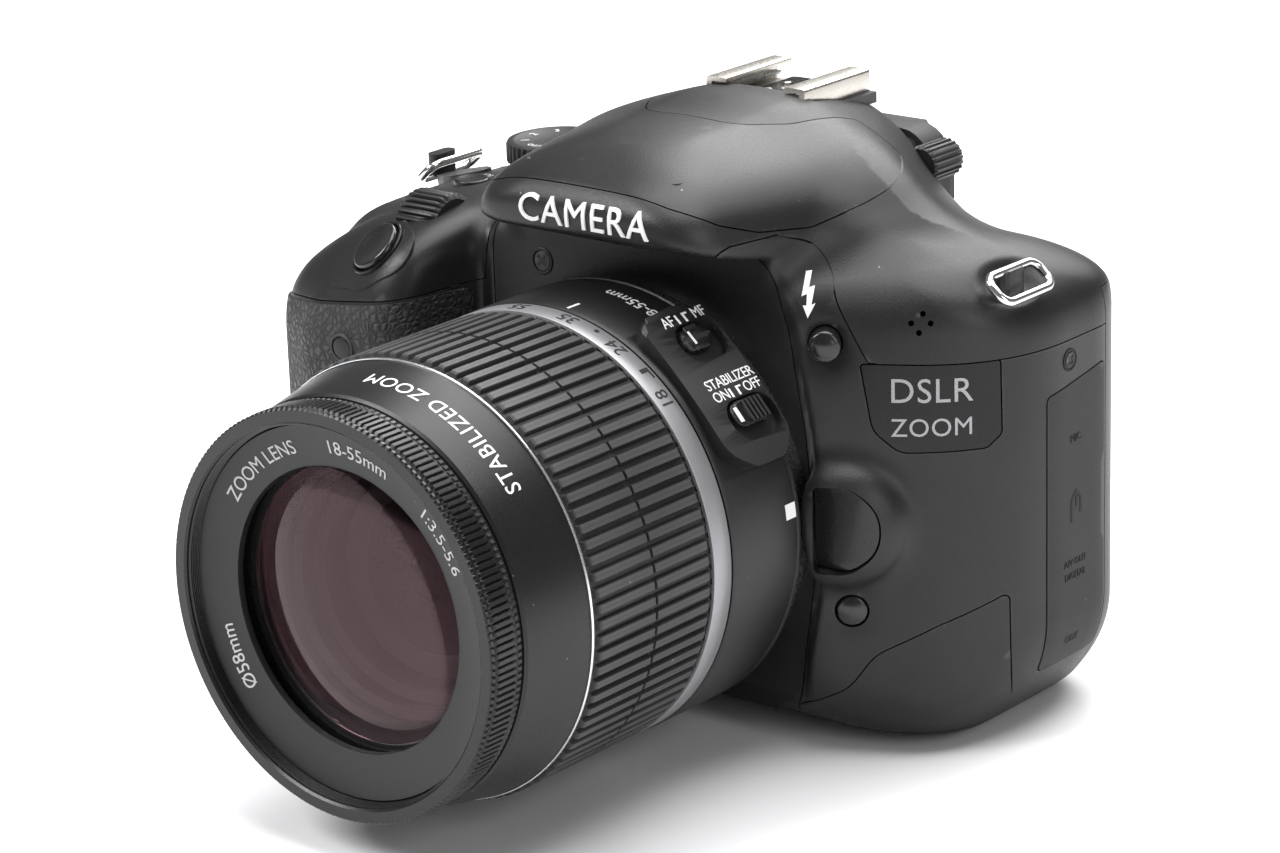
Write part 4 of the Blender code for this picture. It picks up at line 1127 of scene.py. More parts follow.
for text, size, y, at in (
    ("AF", 1.75, -11.9, 27.9), ("MF", 1.75, -4.6, 27.9), ("STABILIZER", 1.7, -8.2, 46.3),
    ("ON", 1.7, -12.1, 49.7), ("OFF", 1.7, -4.6, 49.7)
):
    white.append(panel_print(letters(text, size, 0.95), y, at))
for at, shift in ((27.9, 0.0), (49.7, -0.1)):
    dash = outline_mesh(rectangle(-0.22, 0.22, -0.75, 0.75))
    white.append(panel_print(dash, -9.6 + shift, at + 0.3))
    hook = outline_mesh([
        (-0.22, -0.75), (0.22, -0.75), (0.22, 0.45), (1.0, 0.45), (1.0, 0.75), (-0.22, 0.75)])
    white.append(panel_print(hook, -7.9 + shift, at + 0.3))
white.append(user_print(letters("18-55mm", 2.2), BARREL_R + 0.03, -8.4, 14.0))
marks("lens_marks", white, "white", "lens")


def slider_mark(name, y, radius, body, at, half, wide):
    """The white line on a switch's slider."""
    points, faces = outline_mesh(bar(-half, half, -wide, wide))
    marks(name, [(on_panel(*points.T, radius, y, at), faces)], "white", body)


slider_mark("af_mf_mark", -9.3, 36.17, "af_mf_switch", AF_AT - 1.5, 1.1, 0.24)
slider_mark("stabilizer_mark", -10.6, 35.95, "stabilizer_switch", STAB_AT - 1.5, 1.2, 0.42)

RIBS = 90


def rib_shape(radius, height, angles):
    """The zoom grip's ribs, cut down to their root between one another."""
    phase = (angles * RIBS / (2 * math.pi)) % 1.0
    side = np.minimum(phase, 1 - phase) * 2
    edge = np.clip((side - 0.26) / 0.14, 0, 1)
    return radius - (1 - edge) * max(0.0, radius - 34.02)


def rib_heights(front, back, top, base):
    """The grip's profile: sloping ends and a groove round its middle."""
    step_in = [(base, front), (base, front + 0.05), (top - 0.25, front + 0.30), (top, front + 0.75)]
    middle = (front + back) / 2
    groove = [
        (top, middle - 0.30), (base + 0.15, middle - 0.16), (base + 0.15, middle + 0.16), (top, middle + 0.30)
    ]
    return step_in + groove + [(r, front + back - y) for r, y in reversed(step_in)]


zoom = lathe(
    [(31.6, -50.5), (33.6, -50.5)] + rib_heights(-50.2, -24.0, 34.80, 34.0) + [
        (34.45, -23.75), (34.5, -19.5), (34.2, -19.3), (33.4, -19.3), (33.4, -44.2), (31.6, -44.2)],
    RIBS * 8, name="zoom_grip", shape=rib_shape)
finish_piece(zoom, "ribs", "zoom_ring", ("zoom_ring",), smooth=28)
silver_band = lathe([
    (34.3, -23.5), (34.72, -23.45), (34.8, -23.3), (34.8, -19.45), (34.7, -19.3), (34.3, -19.3)
], 192, name="silver_band")
finish_piece(silver_band, "silver", "zoom_ring")
BAND_R = 34.8 + PRINT
numbers = []
for text, at in (("18", 44.5), ("24", 26.0), ("35", 10.0), ("55", -6.0)):
    numbers.append(user_print(letters(text, 2.5), BAND_R, -21.3, at))
tick = outline_mesh(rectangle(-0.28, 0.28, -0.28, 0.28, 0.27))
numbers.append((on_barrel(tick[0] * 1.5, BAND_R, -20.6, 18.5), tick[1]))
corner = outline_mesh([(-1.1, -1.0), (-0.3, -1.0), (-0.3, 0.4), (1.0, 0.4), (1.0, 0.8), (-1.1, 0.8)])
numbers.append((on_barrel(corner[0], BAND_R, -20.6, 36.5), corner[1]))
marks("zoom_numbers", numbers, "black_ink", "zoom_ring")

tube = lathe([
    (29.0, -26.2), (31.2, -26.2), (31.2, -50.6), (34.0, -50.8), (34.1, -51.0), (34.1, -51.2), (33.95, -51.35),
    (33.95, -51.6), (31.9, -62.6), (31.5, -63.0), (29.6, -63.0), (29.0, -62.0)], 192, name="front_cone")
finish_piece(tube, "cone", "front_tube", ("front_tube",), smooth=25)
silver_line = lathe([
    (33.6, -50.75), (34.2, -50.75), (34.28, -50.85), (34.28, -51.1), (34.2, -51.2), (33.6, -51.2)
], 192, name="silver_line")
finish_piece(silver_line, "trim", "front_tube")
points, faces = letters("STABILIZED ZOOM", 2.6, 1.05)
u, v, w = (points * (-1, -1, 1)).T
y = -57.0 + v
radius = 33.95 - (y + 51.6) / (-62.6 + 51.6) * (33.95 - 31.9) + PRINT + w
theta = math.radians(24.0) + u / 33.0
cone_text = np.stack([radius * np.sin(theta), y, radius * np.cos(theta)], 1)
marks("cone_lettering", [(cone_text, faces)], "white", "front_tube")

FINE = 180


def fine_shape(radius, height, angles):
    """The focus ring's fine ribs."""
    phase = (angles * FINE / (2 * math.pi)) % 1.0
    return radius - (np.abs(phase - 0.5) * 2 > 0.55) * max(0.0, radius - 31.28)


fine_ribs = [(31.25, -69.0), (31.25, -68.9), (31.68, -68.6), (31.68, -64.9), (31.25, -64.6), (31.25, -64.5)]
thread = []
for k in range(5):
    y = -69.4 + k * 0.36
    thread += [(29.25, y), (28.95, y + 0.18)]
focus_profile = [(22.6, -60.5), (31.2, -60.5), (31.2, -63.3), (31.45, -63.5), (31.45, -64.2), (31.25, -64.4)]
focus_profile += fine_ribs[::-1]
focus_profile += [
    (31.25, -69.15), (31.55, -69.35), (31.6, -69.8), (31.3, -70.1), (29.6, -70.1), (29.25, -69.8)]
focus_profile += thread + [(29.0, -67.6), (28.2, -67.2), (28.2, -63.0), (22.6, -63.0)]
focus = lathe(focus_profile, FINE * 4, name="focus_grip", shape=fine_shape)
finish_piece(focus, "rim", "focus_ring", ("focus_ring",), smooth=28)

name_ring = lathe([
    (28.3, -67.35), (28.95, -67.5), (28.6, -67.75), (22.4, -66.25), (22.05, -66.3), (21.95, -66.0),
    (21.95, -65.2), (23.0, -65.0), (28.3, -66.0)], 192, name="name_ring")
finish_piece(name_ring, "name", "focus_ring", smooth=30)
LEAN = math.degrees(math.atan2(67.75 - 66.25, 28.6 - 22.4))


RING_TEXT_R, RING_TEXT_Y = 25.4, -67.03
ring_text = []
for text, at in (("ZOOM LENS", -38.0), ("18-55mm", 10.0), ("1:3.5-5.6", 53.0), ("Ø58mm", -118.0)):
    points, faces = letters(text, 2.3, depth=0.05)
    ring_text.append((on_cone(points, RING_TEXT_R, RING_TEXT_Y, at, LEAN), faces))
marks("name_ring_lettering", ring_text, "grey_ink", "focus_ring")


def lens_cap_profile(radius, vertex, sag, thick, back_sag, steps=14):
    """A glass element: its front vertex at `vertex`, bulging forward by sag, `thick` deep at the middle."""
    front = [(radius * math.sin(t), vertex + sag * (1 - math.cos(t)) / (1 - math.cos(1.0)))
             for t in np.linspace(0, 1.0, steps)]
    scale = radius / front[-1][0]
    front = [(r * scale, y) for r, y in front]
    rear = [(radius * k, vertex + thick - back_sag * (k ** 2)) for k in np.linspace(1, 0, steps)]
    return front + rear


front_glass = lathe(lens_cap_profile(GLASS_R, GLASS_Y, 2.6, 5.0, 0.6), 128, name="front_glass", smooth=60)
finish_piece(front_glass, "glass", "focus_ring", ("front_element",))
funnel = lathe([
    (21.9, -62.2), (21.9, -60.0), (20.0, -59.6), (20.0, -57.6), (18.6, -57.2), (18.6, -54.8), (17.0, -54.4),
    (17.0, -51.8), (15.4, -51.4), (15.4, -48.0), (13.0, -47.4), (13.0, -42.0), (15.0, -42.0), (24.5, -58.0),
    (24.5, -60.0), (22.9, -62.2)], 128, name="inner_baffle")
finish_piece(funnel, "baffle", "focus_ring", smooth=25)
second_glass = lathe(lens_cap_profile(12.9, -46.2, 2.4, 5.0, 1.0), 96, name="second_glass", smooth=60)
finish_piece(second_glass, "green_glass", "focus_ring")
for element in (front_glass, second_glass):
    element.visible_shadow = False
iris = []
for k in range(6):
    t0, t1 = math.radians(60 * k), math.radians(60 * (k + 1))
    corners = ((4.6, t0), (13.5, t0), (13.5, t1), (4.6, t1 + 0.14))
    blade = outline_mesh([(r * math.sin(t), r * math.cos(t)) for r, t in corners], 0.12)
    iris.append((on_plane(blade[0], (0, -41.2 + 0.16 * k, 0), (1, 0, 0), (0, 0, 1)), blade[1]))
marks("iris_blades", iris, "screw", "focus_ring")

# ------------------------ controls on the front

def on_skin(points, direction):
    """Points moved back against `direction`, from outside, until each meets the body's skin."""
    d = np.array(direction, float)
    d /= np.linalg.norm(d)
    p = np.asarray(points, float) + d * 9.0
    for _ in range(26):
        f = body_form(*p.T)
        p = p - d * np.maximum(f, 0)[:, None] * 0.85
    return p


def surface(point, direction):
    return on_skin([point], direction)[0]


def outward(point, h=0.25):
    """The skin's outward direction at a point."""
    g = []
    for axis in range(3):
        a, b = np.array(point, float), np.array(point, float)
        a[axis] += h
        b[axis] -= h
        g.append(float(body_form(*[np.array([c]) for c in a])[0] - body_form(*[np.array([c]) for c in b])[0]))
    g = np.array(g)
    return g / np.linalg.norm(g)


def skin_print(shape, origin, u, v, lift=0.03):
    """Lays flat print on the body's skin, pushing it in along the print's own normal."""
    points, faces = shape
    u, v = np.array(u, float), np.array(v, float)
    u /= np.linalg.norm(u)
    v -= u * (u @ v)
    v /= np.linalg.norm(v)
    w = np.cross(u, v)
    a, b, c = np.asarray(points, float).T[:, :, None]
    return on_skin(np.array(origin) + u * a + v * b, w) + w * (lift + c), faces


def button_cap(node, name, *shape, material="button"):
    """A round cap in place of a CAD button, moving with it; shape is the rest of disc's arguments."""
    return finish_piece(disc(name, *shape), material, node, (node,))


def collar(name, profile, segments, centre, axis, material):
    """A thin turned ring round a screw, a lamp or a button."""
    return finish_piece(lathe(profile, segments, tuple(centre), axis, name), material, "camera")


RELEASE_OUT = 3.9  # height of the release button before its top is tilted
release = on_slope(slope_outline(RELEASE_D), -5, RELEASE_OUT, RELEASE_SPOT, bevel=1.0, name="lens_release",
                   segments=5)
for vert in release.data.vertices:
    offset = (np.array(vert.co) - ORIGIN) / MM - RELEASE_SPOT
    run, out = float(offset @ np.array(U_SLOPE)), float(offset @ SLOPE)
    if out > 0:
        vert.co -= Vector(SLOPE) * MM * out / RELEASE_OUT * (
            0.2 + 3.4 * (1 - min(1.0, (run + 3.6) / 8.6)) ** 1.3)
finish_piece(release, "shutter", "lens_release_button", ("lens_release_button",))
button_cap("flash_button", "flash_button_cap", FLASH_SPOT, SLOPE_AXIS, 2.5, -4.0, -0.35, 0.6, -0.45,
           material="shutter")
button_cap("depth_preview_button", "depth_preview_cap", DEPTH_SPOT, SLOPE_AXIS, 2.45, -4.0, -0.15, 0.5, -0.35,
           material="shutter")

BOLT = [
    (-0.35, 3.1), (0.55, 3.2), (0.15, 1.0), (1.05, 1.25), (0.55, -1.3), (1.15, -1.1), (0.0, -3.2),
    (-0.75, -1.4), (-0.2, -1.4), (-0.15, 0.15), (-0.95, -0.1)]
bolt_spot = slope_point(0.8, 35.4)
marks(
    "flash_symbol", [skin_print(outline_mesh(BOLT, 0.3), bolt_spot, U_SLOPE, V_SLOPE, 0.0)], "white", "camera"
)


def screw_head(name, centre, axis, radius=1.6):
    """A countersunk cross-head screw: dished head with a cross cut in it."""
    head = disc(name, centre, axis, radius, -1.5, 0.1, 0.25, 0.12, 40)
    z = Vector(axis).normalized()
    x = z.orthogonal().normalized()
    y = z.cross(x)
    for a, b in ((x, y), (y, -x)):
        slot = extrude(rectangle(-radius * 0.66, radius * 0.66, -0.22, 0.22), -0.7, 1.0, a, b, centre)
        carve(head, ("-", slot))
        drop(slot)
    return finish_piece(head, "screw", "camera")


MOUNT_SCREW_SPOT = (-20.0, 3.2, 33.6)
screw_head("mount_screw_left", MOUNT_SCREW_SPOT, FORWARD, 1.7)
cup = [(1.75, -0.8), (2.25, -0.8), (2.25, 0.12), (2.1, 0.22), (1.85, 0.2), (1.75, 0.0)]
collar("mount_screw_cup", cup, 48, MOUNT_SCREW_SPOT, FORWARD, "plate")
side_spot = surface((58.0, 35.3, 22.3), SIDE)
screw_head("side_screw", tuple(side_spot + (0.05, 0, 0)), SIDE, 1.35)
cup = [(1.38, -0.8), (1.85, -0.8), (1.85, 0.10), (1.75, 0.16), (1.5, 0.12), (1.38, 0.0)]
collar("side_screw_cup", cup, 48, side_spot, SIDE, "baffle")

lamp_spot = surface((-48.4, -14.0, 18.7), FORWARD) + (0, -0.45, 0)
lamp_axis = tuple(outward(lamp_spot))
lamp_ring = [(1.95, -1.0), (2.45, -1.0), (2.45, 0.12), (2.3, 0.28), (2.05, 0.26), (1.95, 0.05)]
collar("timer_lamp_bezel", lamp_ring, 56, lamp_spot, lamp_axis, "rubber")
lamp_window = disc("timer_lamp_window", tuple(lamp_spot), lamp_axis, 1.9, -1.0, 0.15, 0.2, -0.12)
finish_piece(lamp_window, "gloss", "camera")


def tube_loop(name, outline, centre, u, v, radius, sides=14):
    """A closed wire bent along a 2-D outline in the plane of u and v."""
    u, v = Vector(u).normalized(), Vector(v).normalized()
    w = u.cross(v)
    path = [Vector(centre) + u * a + v * b for a, b in outline]
    points, faces = [], []
    count = len(path)
    for i, p in enumerate(path):
        way = (path[(i + 1) % count] - path[i - 1]).normalized()
        side = way.cross(w).normalized()
        for k in range(sides):
            t = 2 * math.pi * k / sides
            points.append(p + side * radius * math.cos(t) + w * radius * math.sin(t))
    for i in range(count):
        for k in range(sides):
            a, b = i * sides + k, i * sides + (k + 1) % sides
            c, d = ((i + 1) % count) * sides + (k + 1) % sides, ((i + 1) % count) * sides + k
            faces.append((a, b, c, d))
    return make(name, [tuple(p) for p in points], faces, 60)


for side, centre, lean in (("right", LUG_RIGHT, -42.0), ("left", LUG_LEFT + (0.0, 2.2, 1.4), 42.0)):
    tilt = math.radians(lean)
    across = (math.cos(tilt), 0, math.sin(tilt))
    wire = tube_loop(
        f"strap_loop_{side}", rectangle(-6.5, 6.5, -2.5, 2.5, 1.9, 8), tuple(centre), BACK, across, 0.72)
    finish_piece(wire, "chrome", "camera", (f"strap_lug_{side}",))
    inner = centre - np.array(across) * 2.5
    post = extrude(
        rectangle(-2.8, 2.8, -1.2, 1.2, 1.1, 5), -4.0, 0.2, BACK, SIDE if side == "left" else (-1, 0, 0),
        tuple(inner), bevel=0.5, name=f"strap_post_{side}")
    finish_piece(post, "screw", "camera")

# ------------------------ controls on top

button_cap(
    "shutter_button", "shutter_button_cap", tuple(PLATFORM_CENTRE + PLATFORM_NORMAL * 0.35), PLATFORM_AXIS,
    4.5, -1.6, 0.75, 0.55, 0.6, 96, material="shutter")
well = [(4.7, -3.0), (5.3, -3.0), (5.3, 0.10), (5.15, 0.26), (4.85, 0.24), (4.7, 0.05)]
collar("shutter_bezel", well, 96, PLATFORM_CENTRE, PLATFORM_AXIS, "gloss")


def teeth(count, depth, above, share=0.5):
    """A ring shape for lathe: teeth this deep on every ring of the profile that is wider than above."""
    def shape(radius, height, angles):
        phase = (angles * count / (2 * math.pi)) % 1.0
        side = np.minimum(phase, 1 - phase) * 2
        raised = np.clip((side - share + 0.14) / 0.28, 0, 1)
        return radius - (1 - raised) * depth * (radius > above)
    return shape


low, high = cad("main_dial")
wheel_r = (high[2] - low[2]) / 2
half = (high[0] - low[0]) / 2
wheel_edge = [(0, half), (wheel_r - 0.9, half), (wheel_r - 0.2, half - 0.5), (wheel_r, half - 1.0)]
wheel = lathe([(r, -h) for r, h in wheel_edge] + wheel_edge[::-1], 30 * 8, tuple((low + high) / 2), SIDE,
              "main_wheel", teeth(30, 0.65, wheel_r - 0.5, 0.45), 30)
finish_piece(wheel, "dial", "main_dial", ("main_dial",))

low, high = cad("mode_dial")
dial_r = (high[0] - low[0]) / 2
centre = (low + high) / 2
foot_z, top_z = low[2] - centre[2], high[2] - centre[2]
dial_profile = [(0, foot_z), (dial_r - 0.8, foot_z), (dial_r, foot_z + 0.5), (dial_r, top_z - 0.7),
                (dial_r - 0.25, top_z - 0.2), (dial_r - 0.9, top_z), (dial_r - 1.6, top_z - 0.05),
                (dial_r - 1.9, top_z - 0.2), (0, top_z - 0.2)]
mode = lathe(dial_profile, 44 * 8, tuple(centre), UP, "mode_wheel", teeth(44, 0.35, dial_r - 0.25), 30)
finish_piece(mode, "dial", "mode_dial", ("mode_dial",))
mode_marks = []
for k, text in enumerate(("P", "S", "A", "M", "AUTO", "1", "2", "3")):
    points, faces = letters(text, 1.5 if len(text) == 1 else 1.0)
    turn = math.radians(k * 45)
    radial = np.array([math.sin(turn), math.cos(turn), 0])
    tangent = np.array([math.cos(turn), -math.sin(turn), 0])
    spot = np.array([centre[0], centre[1], high[2] - 0.17]) + radial * (dial_r - 3.2)
    mode_marks.append((on_plane(points, spot, tangent, radial), faces))
marks("mode_marks", mode_marks, "white", "mode_dial")

low, high = cad("iso_button")
centre = (low + high) / 2
deck = surface((centre[0], centre[1], 40), UP)
button_cap("iso_button", "iso_button_cap", (centre[0], centre[1], deck[2]), UP, 3.0, -3.0, 0.75, 0.4, 0.25)
low, high = cad("power_switch")
lever_c = (low + high) / 2
lever_r = (high[1] - low[1]) / 2
hub = (high[0] - lever_r, lever_c[1])
lever_edge = [(low[0] - hub[0], -1.6, 1.2), (-lever_r * 0.6, -lever_r * 0.8, 1.0), (0.5, -lever_r, 3.0),
              (lever_r, -1.5, 3.0)]
lever_outline = rounded(lever_edge + [(u, -v, radius) for u, v, radius in lever_edge[::-1]], 6)
lever_spot = surface((hub[0], hub[1], 40), UP)
lever_axis = outward(lever_spot) + np.array(UP) * 0.6
lever_axis /= np.linalg.norm(lever_axis)
lever_u = Vector(SIDE) - Vector(lever_axis) * lever_axis[0]
lever = extrude(
    lever_outline, -3.0, 0.8, lever_u, Vector(lever_axis).cross(lever_u), tuple(lever_spot), bevel=0.4,
    name="power_lever")
finish_piece(lever, "dial", "power_switch", ("power_switch",))
top_marks = []
for text, x, y, size in (
    ("ISO", centre[0], centre[1] + 4.6, 1.3), ("ON", -57.5, 36.5, 1.2), ("OFF", -52.0, 36.5, 1.2)
):
    points, faces = letters(text, size)
    top_marks.append((points * (-1, -1, 1) + (x, y, surface((x, y, 40), UP)[2] + 0.04), faces))
marks("top_marks", top_marks, "grey_ink", "camera")

# ------------------------ generic lettering where names would be

front_spot = surface((2.2, -30.0, 47.9), FORWARD)
front_letters = skin_print(letters("CAMERA", 4.5, 1.08, 0.5), front_spot, SIDE, UP, 0.05)
marks("front_lettering", [front_letters], "white", "camera")
badge_letters = []
for text, size, up in (("DSLR", 3.9, 3.2), ("ZOOM", 2.9, -2.6)):
    spot = BADGE_SPOT + np.array(U_SLOPE) * 1.2 + (0, 0, up)
    badge_letters.append(skin_print(letters(text, size, 1.05, 0.16), spot, U_SLOPE, V_SLOPE, 0.03))
marks("badge_lettering", badge_letters, "silver", "camera")

# ------------------------ hot shoe

low, high = cad("hot_shoe")
X0, Z0 = high[0] - 0.6, high[2]
flange = [(X0, Z0 - 3.9, 0.2), (X0, Z0, 0.5), (X0 - 4.0, Z0, 0.2), (X0 - 4.0, Z0 - 0.75, 0.1),
          (X0 - 1.1, Z0 - 0.75, 0.3), (X0 - 1.1, Z0 - 3.0, 0.3)]
other = [(-x, z, radius) for x, z, radius in flange[::-1]]
rail = rounded(other[-1:] + flange + other[:-1], 4)
shoe = side_prism(rail, low[1], high[1], "Y", name="accessory_shoe")
finish_piece(shoe, "nickel", "camera", ("hot_shoe",), smooth=30)
springs = []
SPRING = rounded([(-1.3, -7.5, 0.3), (1.3, -7.5, 0.3), (1.3, 6.0, 0.3), (0.6, 7.2, 0.3), (-0.6, 7.2, 0.3),
                  (-1.3, 6.0, 0.3)], 3)
SHOE_Y = (low[1] + high[1]) / 2
for side in (-1, 1):
    points, faces = outline_mesh(SPRING, 0.3)
    points[:, 2] += 0.4 * np.cos(points[:, 1] / 7.5 * math.pi * 0.9)
    springs.append((points + (side * (X0 - 2.6), SHOE_Y, Z0 - 1.7), faces))
marks("shoe_springs", springs, "steel", "camera")
PAD_Z = Z0 - 2.75
contact_pad = extrude(rectangle(-4.6, 4.6, low[1] + 2.5, high[1] - 1.0, 0.8), Z0 - 3.1, PAD_Z, bevel=0.12,
                      name="shoe_pad")
finish_piece(contact_pad, "gloss", "camera")
for k, (x, y, r) in enumerate(
    ((0, 0, 1.2), (-2.6, 3.2, 0.65), (2.6, 3.2, 0.65), (2.6, -2.0, 0.65), (-2.6, -2.0, 0.65))
):
    contact = disc(f"shoe_contact_{k + 1}", (x, SHOE_Y + y, PAD_Z), UP, r, -0.2, 0.18, 0.08, -0.04, 32)
    finish_piece(contact, "nickel", "camera")

# ------------------------ flash reflector under the lid

case = extrude(rectangle(-15.2, 15.2, -5.6, 5.4, 1.0), 42.3, 53.0, name="lamp_case")
carve(case, ("-", extrude(rectangle(-12.6, 12.6, -5.0, 4.0, 0.6), 41, 43.3)), solver="EXACT")
finish_piece(case, "body", "flash")
lamp = extrude(rectangle(-12.3, 12.3, -4.8, 3.8, 0.5), 42.0, 43.2, name="flash_pane", both=True, bevel=0.2)
finish_piece(lamp, "grey", "flash", ("flash_window",))

# ------------------------ side covers

icons = [(letters(text, size, 1.0, 0.12), z) for text, z, size in (
    ("MIC", 9.4, 1.25), ("A/V OUT", -11.0, 1.15), ("DIGITAL", -13.2, 1.15), ("OUT", -24.0, 1.3))]
ARROW = [
    (-1.3, -2.6), (-0.8, -2.6), (-0.8, 0.9), (0.0, 1.7), (0.0, -0.2), (0.5, -0.2), (0.5, 1.7), (1.2, 0.9),
    (1.2, -1.4), (1.7, -1.4), (1.7, 1.2), (0.3, 2.7), (-1.3, 1.2)]
icons.append((outline_mesh(ARROW, 0.06), -1.8))
icons = [skin_print(shape, (59, 36.8, z), BACK, UP, 0.14) for shape, z in icons]
marks("port_icons", icons, "baffle", "terminal_cover")

# ------------------------ the back

low, high = cad("lcd_screen")


def inset(low, high, by, radius):
    """The rounded outline in X and Z of a box, by this much smaller on each side."""
    return rectangle(low[0] + by, high[0] - by, low[2] + by, high[2] - by, radius)


surround = side_prism(
    inset(low, high, 0, 2.0), REAR_Y - 1.0, high[1] - 0.2, "Y", name="screen_surround", bevel=0.8)
carve(
    surround, ("-", side_prism(inset(low, high, 2.6, 0.8), high[1] - 1.0, high[1] + 2, "Y")), solver="EXACT")
finish_piece(surround, "gloss", "camera", ("lcd_screen",))
pane = side_prism(
    inset(low, high, 2.7, 0.7), high[1] - 1.1, high[1] - 0.35, "Y", name="screen_pane", bevel=0.15)
finish_piece(pane, "screen", "camera")

RIM_PROFILE = ((0.15, -0.6), (0.65, -0.6), (0.65, 0.02), (0.5, 0.14), (0.25, 0.1))
for name in (
    "menu", "info", "live_view", "ae_lock", "af_point", "exposure", "quick", "set", "playback", "erase"
):
    node = name + "_button"
    low, high = cad(node)
    spot = ((low[0] + high[0]) / 2, REAR_Y, (low[2] + high[2]) / 2)
    radius = (high[0] - low[0]) / 2
    button_cap(node, node + "_cap", spot, BACK, radius, -1.5, 0.85, 0.35, 0.18)
    collar(node + "_rim", [(radius + out, h) for out, h in RIM_PROFILE], 48, spot, BACK, "body")
set_low, set_high = cad("set_button")
pad_centre = (set_low + set_high) / 2
for node in ("up_key", "down_key", "left_key", "right_key"):
    low, high = cad(node)
    mid = (low + high) / 2
    direction = np.array([mid[0] - pad_centre[0], mid[2] - pad_centre[2]])
    direction /= np.linalg.norm(direction)
    angle = math.atan2(direction[1], direction[0])
    wedge = [(4.0 * math.cos(t), 4.0 * math.sin(t)) for t in np.linspace(angle - 0.66, angle + 0.66, 9)]
    wedge += [(10.4 * math.cos(t), 10.4 * math.sin(t)) for t in np.linspace(angle + 0.72, angle - 0.72, 13)]
    wedge = [(pad_centre[0] + a, pad_centre[2] + b) for a, b in wedge]
    key = side_prism(wedge, REAR_Y - 1.2, REAR_Y + 0.9, "Y", bevel=0.35, name=node + "_cap")
    finish_piece(key, "button", node, (node,))
play = outline_mesh([(-1.1, -1.2), (-1.1, 1.2), (1.2, 0.0)])
bin_icon = outline_mesh([
    (-0.8, -1.2), (0.8, -1.2), (1.0, 0.7), (1.3, 0.7), (1.3, 1.1), (-1.3, 1.1), (-1.3, 0.7), (-1.0, 0.7)])
rear_marks = []
for (points, faces), x, z, lift in (
        (letters("MENU", 1.4), 47.0, 17.6, 0.04), (letters("INFO", 1.4), 36.0, 17.6, 0.04),
        (letters("SET", 1.4), pad_centre[0], pad_centre[2], 0.92), (letters("Q", 1.6), -38.0, 9.9, 0.04),
        (letters("AV", 1.5), -28.5, 9.9, 0.04), (play, -29.5, -24.4, 0.04), (bin_icon, -39.0, -28.2, 0.04)):
    rear_marks.append((points[:, [0, 2, 1]] * (-1, 1, 1) + (x, REAR_Y + lift, z), faces))
marks("rear_marks", rear_marks, "white", "camera")

thumb_outline = rounded([
    (-64.0, -30.0, 3.0), (-54.0, -30.0, 4.0), (-53.0, -8.0, 8.0), (-50.0, 8.0, 6.0), (-46.0, 19.0, 4.0),
    (-62.0, 20.5, 3.0), (-64.6, 10.0, 3.0)], 5)
thumb_region = side_prism(thumb_outline, REAR_Y - 6, REAR_Y + 4, "Y")
thumb = carve(copy_of(SKIN, "thumb_rest"), ("-", UNDER), ("&", thumb_region))
finish_piece(thumb, "leather", "camera")

low, high = cad("eyecup")
low, high = low - (2.2, 0, 0), high + (2.2, 0, 0)
cup_outer = rectangle(low[0], high[0], low[2], high[2], 5.5)
eyecup = side_prism(cup_outer, low[1] - 1.0, high[1], "Y", bevel=1.8, name="eyecup_rubber", segments=5)
carve(
    eyecup, ("-", side_prism(rectangle(-10.5, 10.5, 34.4, 45.6, 3.0), low[1] - 5, high[1] + 5, "Y")),
    solver="EXACT")
finish_piece(eyecup, "rubber", "camera", ("eyecup",))
housing_outline = rectangle(low[0] + 1.5, high[0] - 1.5, low[2] + 1.2, high[2] - 1.2, 3.0)
housing = side_prism(housing_outline, REAR_Y - 6, low[1] - 0.9, "Y", bevel=0.4, name="eyepiece_housing")
carve(
    housing, ("-", side_prism(rectangle(-9.2, 9.2, 35.0, 45.0, 2.0), REAR_Y - 12, high[1] + 5, "Y")),
    solver="EXACT")
finish_piece(housing, "body", "camera")
low, high = cad("eyepiece_lens")
finder = side_prism(
    rectangle(low[0], high[0], low[2], high[2], 1.6), low[1], high[1], "Y", bevel=0.8, both=True,
    name="finder_lens")
finish_piece(finder, "pane", "camera", ("eyepiece_lens",))

low, high = cad("diopter_knob")
knob_r = (high[0] - low[0]) / 2
mid = (low + high) / 2
near, far = low[1] - mid[1], high[1] - mid[1]
knob_profile = [
    (0, near), (knob_r - 0.4, near), (knob_r, near + 0.4), (knob_r, far - 0.5), (knob_r - 0.5, far),
    (0, far - 0.1)]
knob = lathe(knob_profile, 160, tuple(mid), BACK, "diopter_wheel", teeth(20, 0.3, knob_r - 0.2), 30)
finish_piece(knob, "dial", "diopter_knob", ("diopter_knob",))

# ------------------------ CAD nodes that stay: bevelled edges, better materials

for node, material in (
    ("battery_door", "body"), ("card_door", "body"), ("tripod_socket", "steel"), ("body_mount_ring", "steel"),
    ("lens_mount", "grey"), ("mirror_box", "baffle"), ("reflex_mirror", "mirror"), ("shutter_unit", "baffle"),
    ("image_sensor", "screen"), ("main_board", "board"), ("battery", "grey"), ("memory_card", "gloss"),
    ("terminal_block", "grey"), ("pentamirror", "grey"), ("focusing_screen", "pane")
):
    obj = NODES[node]
    weld = obj.modifiers.new("weld", "WELD")
    weld.merge_threshold = 0.01 * MM
    edge = obj.modifiers.new("edges", "BEVEL")
    edge.width = 0.15 * MM
    edge.segments = 2
    edge.limit_method = "ANGLE"
    edge.angle_limit = math.radians(40)
    obj.data.materials.clear()
    obj.data.materials.append(MATS[material])


# ------------------------ floor, light and camera

for tool in [o for o in bpy.data.objects if o.type == "MESH" and o.parent is None]:
    drop(tool)


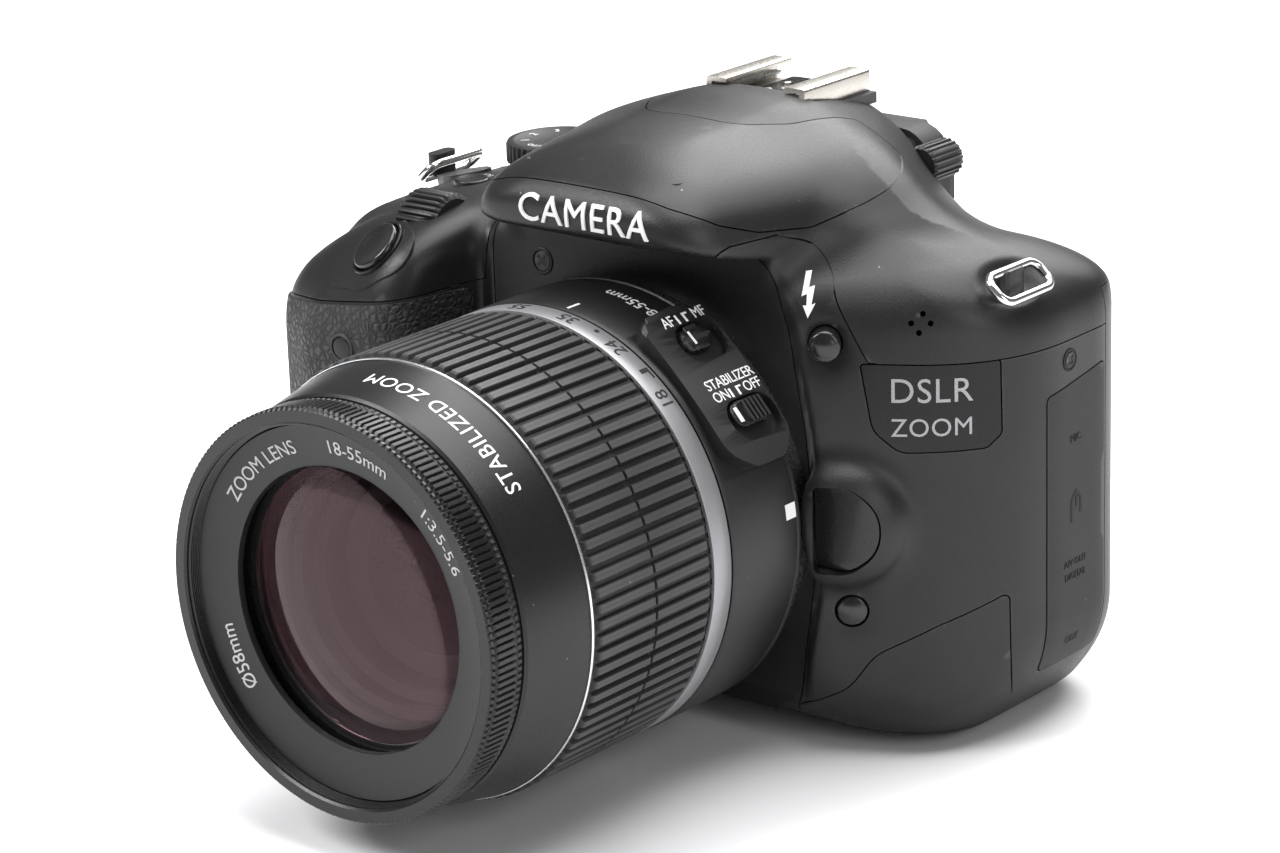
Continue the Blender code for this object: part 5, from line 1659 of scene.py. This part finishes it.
def area_light(name, place, aim, size, power, colour=(1, 1, 1)):
    light = bpy.data.lights.new(name, "AREA")
    light.shape = "RECTANGLE"
    light.size, light.size_y = size
    light.energy = power
    light.color = colour
    obj = put(name, light)
    obj.location = Vector(place)
    obj.rotation_euler = (Vector(aim) - Vector(place)).to_track_quat("-Z", "Y").to_euler()


FAR = 4000.0
floor = make("floor", [(x * FAR, y * FAR, BASE_Z - 0.05) for x, y in ((-1, -1), (1, -1), (1, 1), (-1, 1))],
             [(0, 1, 2, 3)])
floor.data.materials.append(moulded("pale_floor", (0.86, 0.86, 0.87), 0.75, 0.0, 1.0, 0.05, tint=0.01))
MIDDLE = (0.0, 0.0, 0.04)
area_light("key_light", (-0.55, -0.75, 0.95), MIDDLE, (0.7, 0.5), 17.0)
area_light("top_light", (0.05, 0.15, 1.1), MIDDLE, (1.1, 1.0), 20.0)
area_light("side_light", (1.0, -0.25, 0.45), MIDDLE, (0.45, 0.7), 3.5)
area_light("back_light", (-0.2, 1.0, 0.8), MIDDLE, (1.0, 0.5), 11.0)
studio = bpy.data.worlds.new("studio")
studio.use_nodes = True
background = studio.node_tree.nodes["Background"]
background.inputs["Color"].default_value = (0.93, 0.94, 0.95, 1.0)
background.inputs["Strength"].default_value = 0.21
bpy.context.scene.world = studio
bpy.context.scene.view_settings.view_transform = "Standard"

CAMERA_PLACE = (0.38908, -0.45461, 0.24338)
AZIMUTH, ELEVATION, ROLL = 39.747, 18.020, -1.834
view = bpy.data.cameras.new("view")
view.lens = 112.5
view.sensor_width = 36.0
camera = put("view", view)
a, e, roll = (math.radians(t) for t in (AZIMUTH, ELEVATION, ROLL))
look = -Vector((math.sin(a) * math.cos(e), -math.cos(a) * math.cos(e), math.sin(e)))
right = look.cross(Vector((0, 0, 1))).normalized()
above = right.cross(look)
right_rolled = right * math.cos(roll) + above * math.sin(roll)
above_rolled = above * math.cos(roll) - right * math.sin(roll)
camera.matrix_world = Matrix.Translation(CAMERA_PLACE) @ Matrix(
    (right_rolled, above_rolled, -look)).transposed().to_4x4()
bpy.context.scene.camera = camera
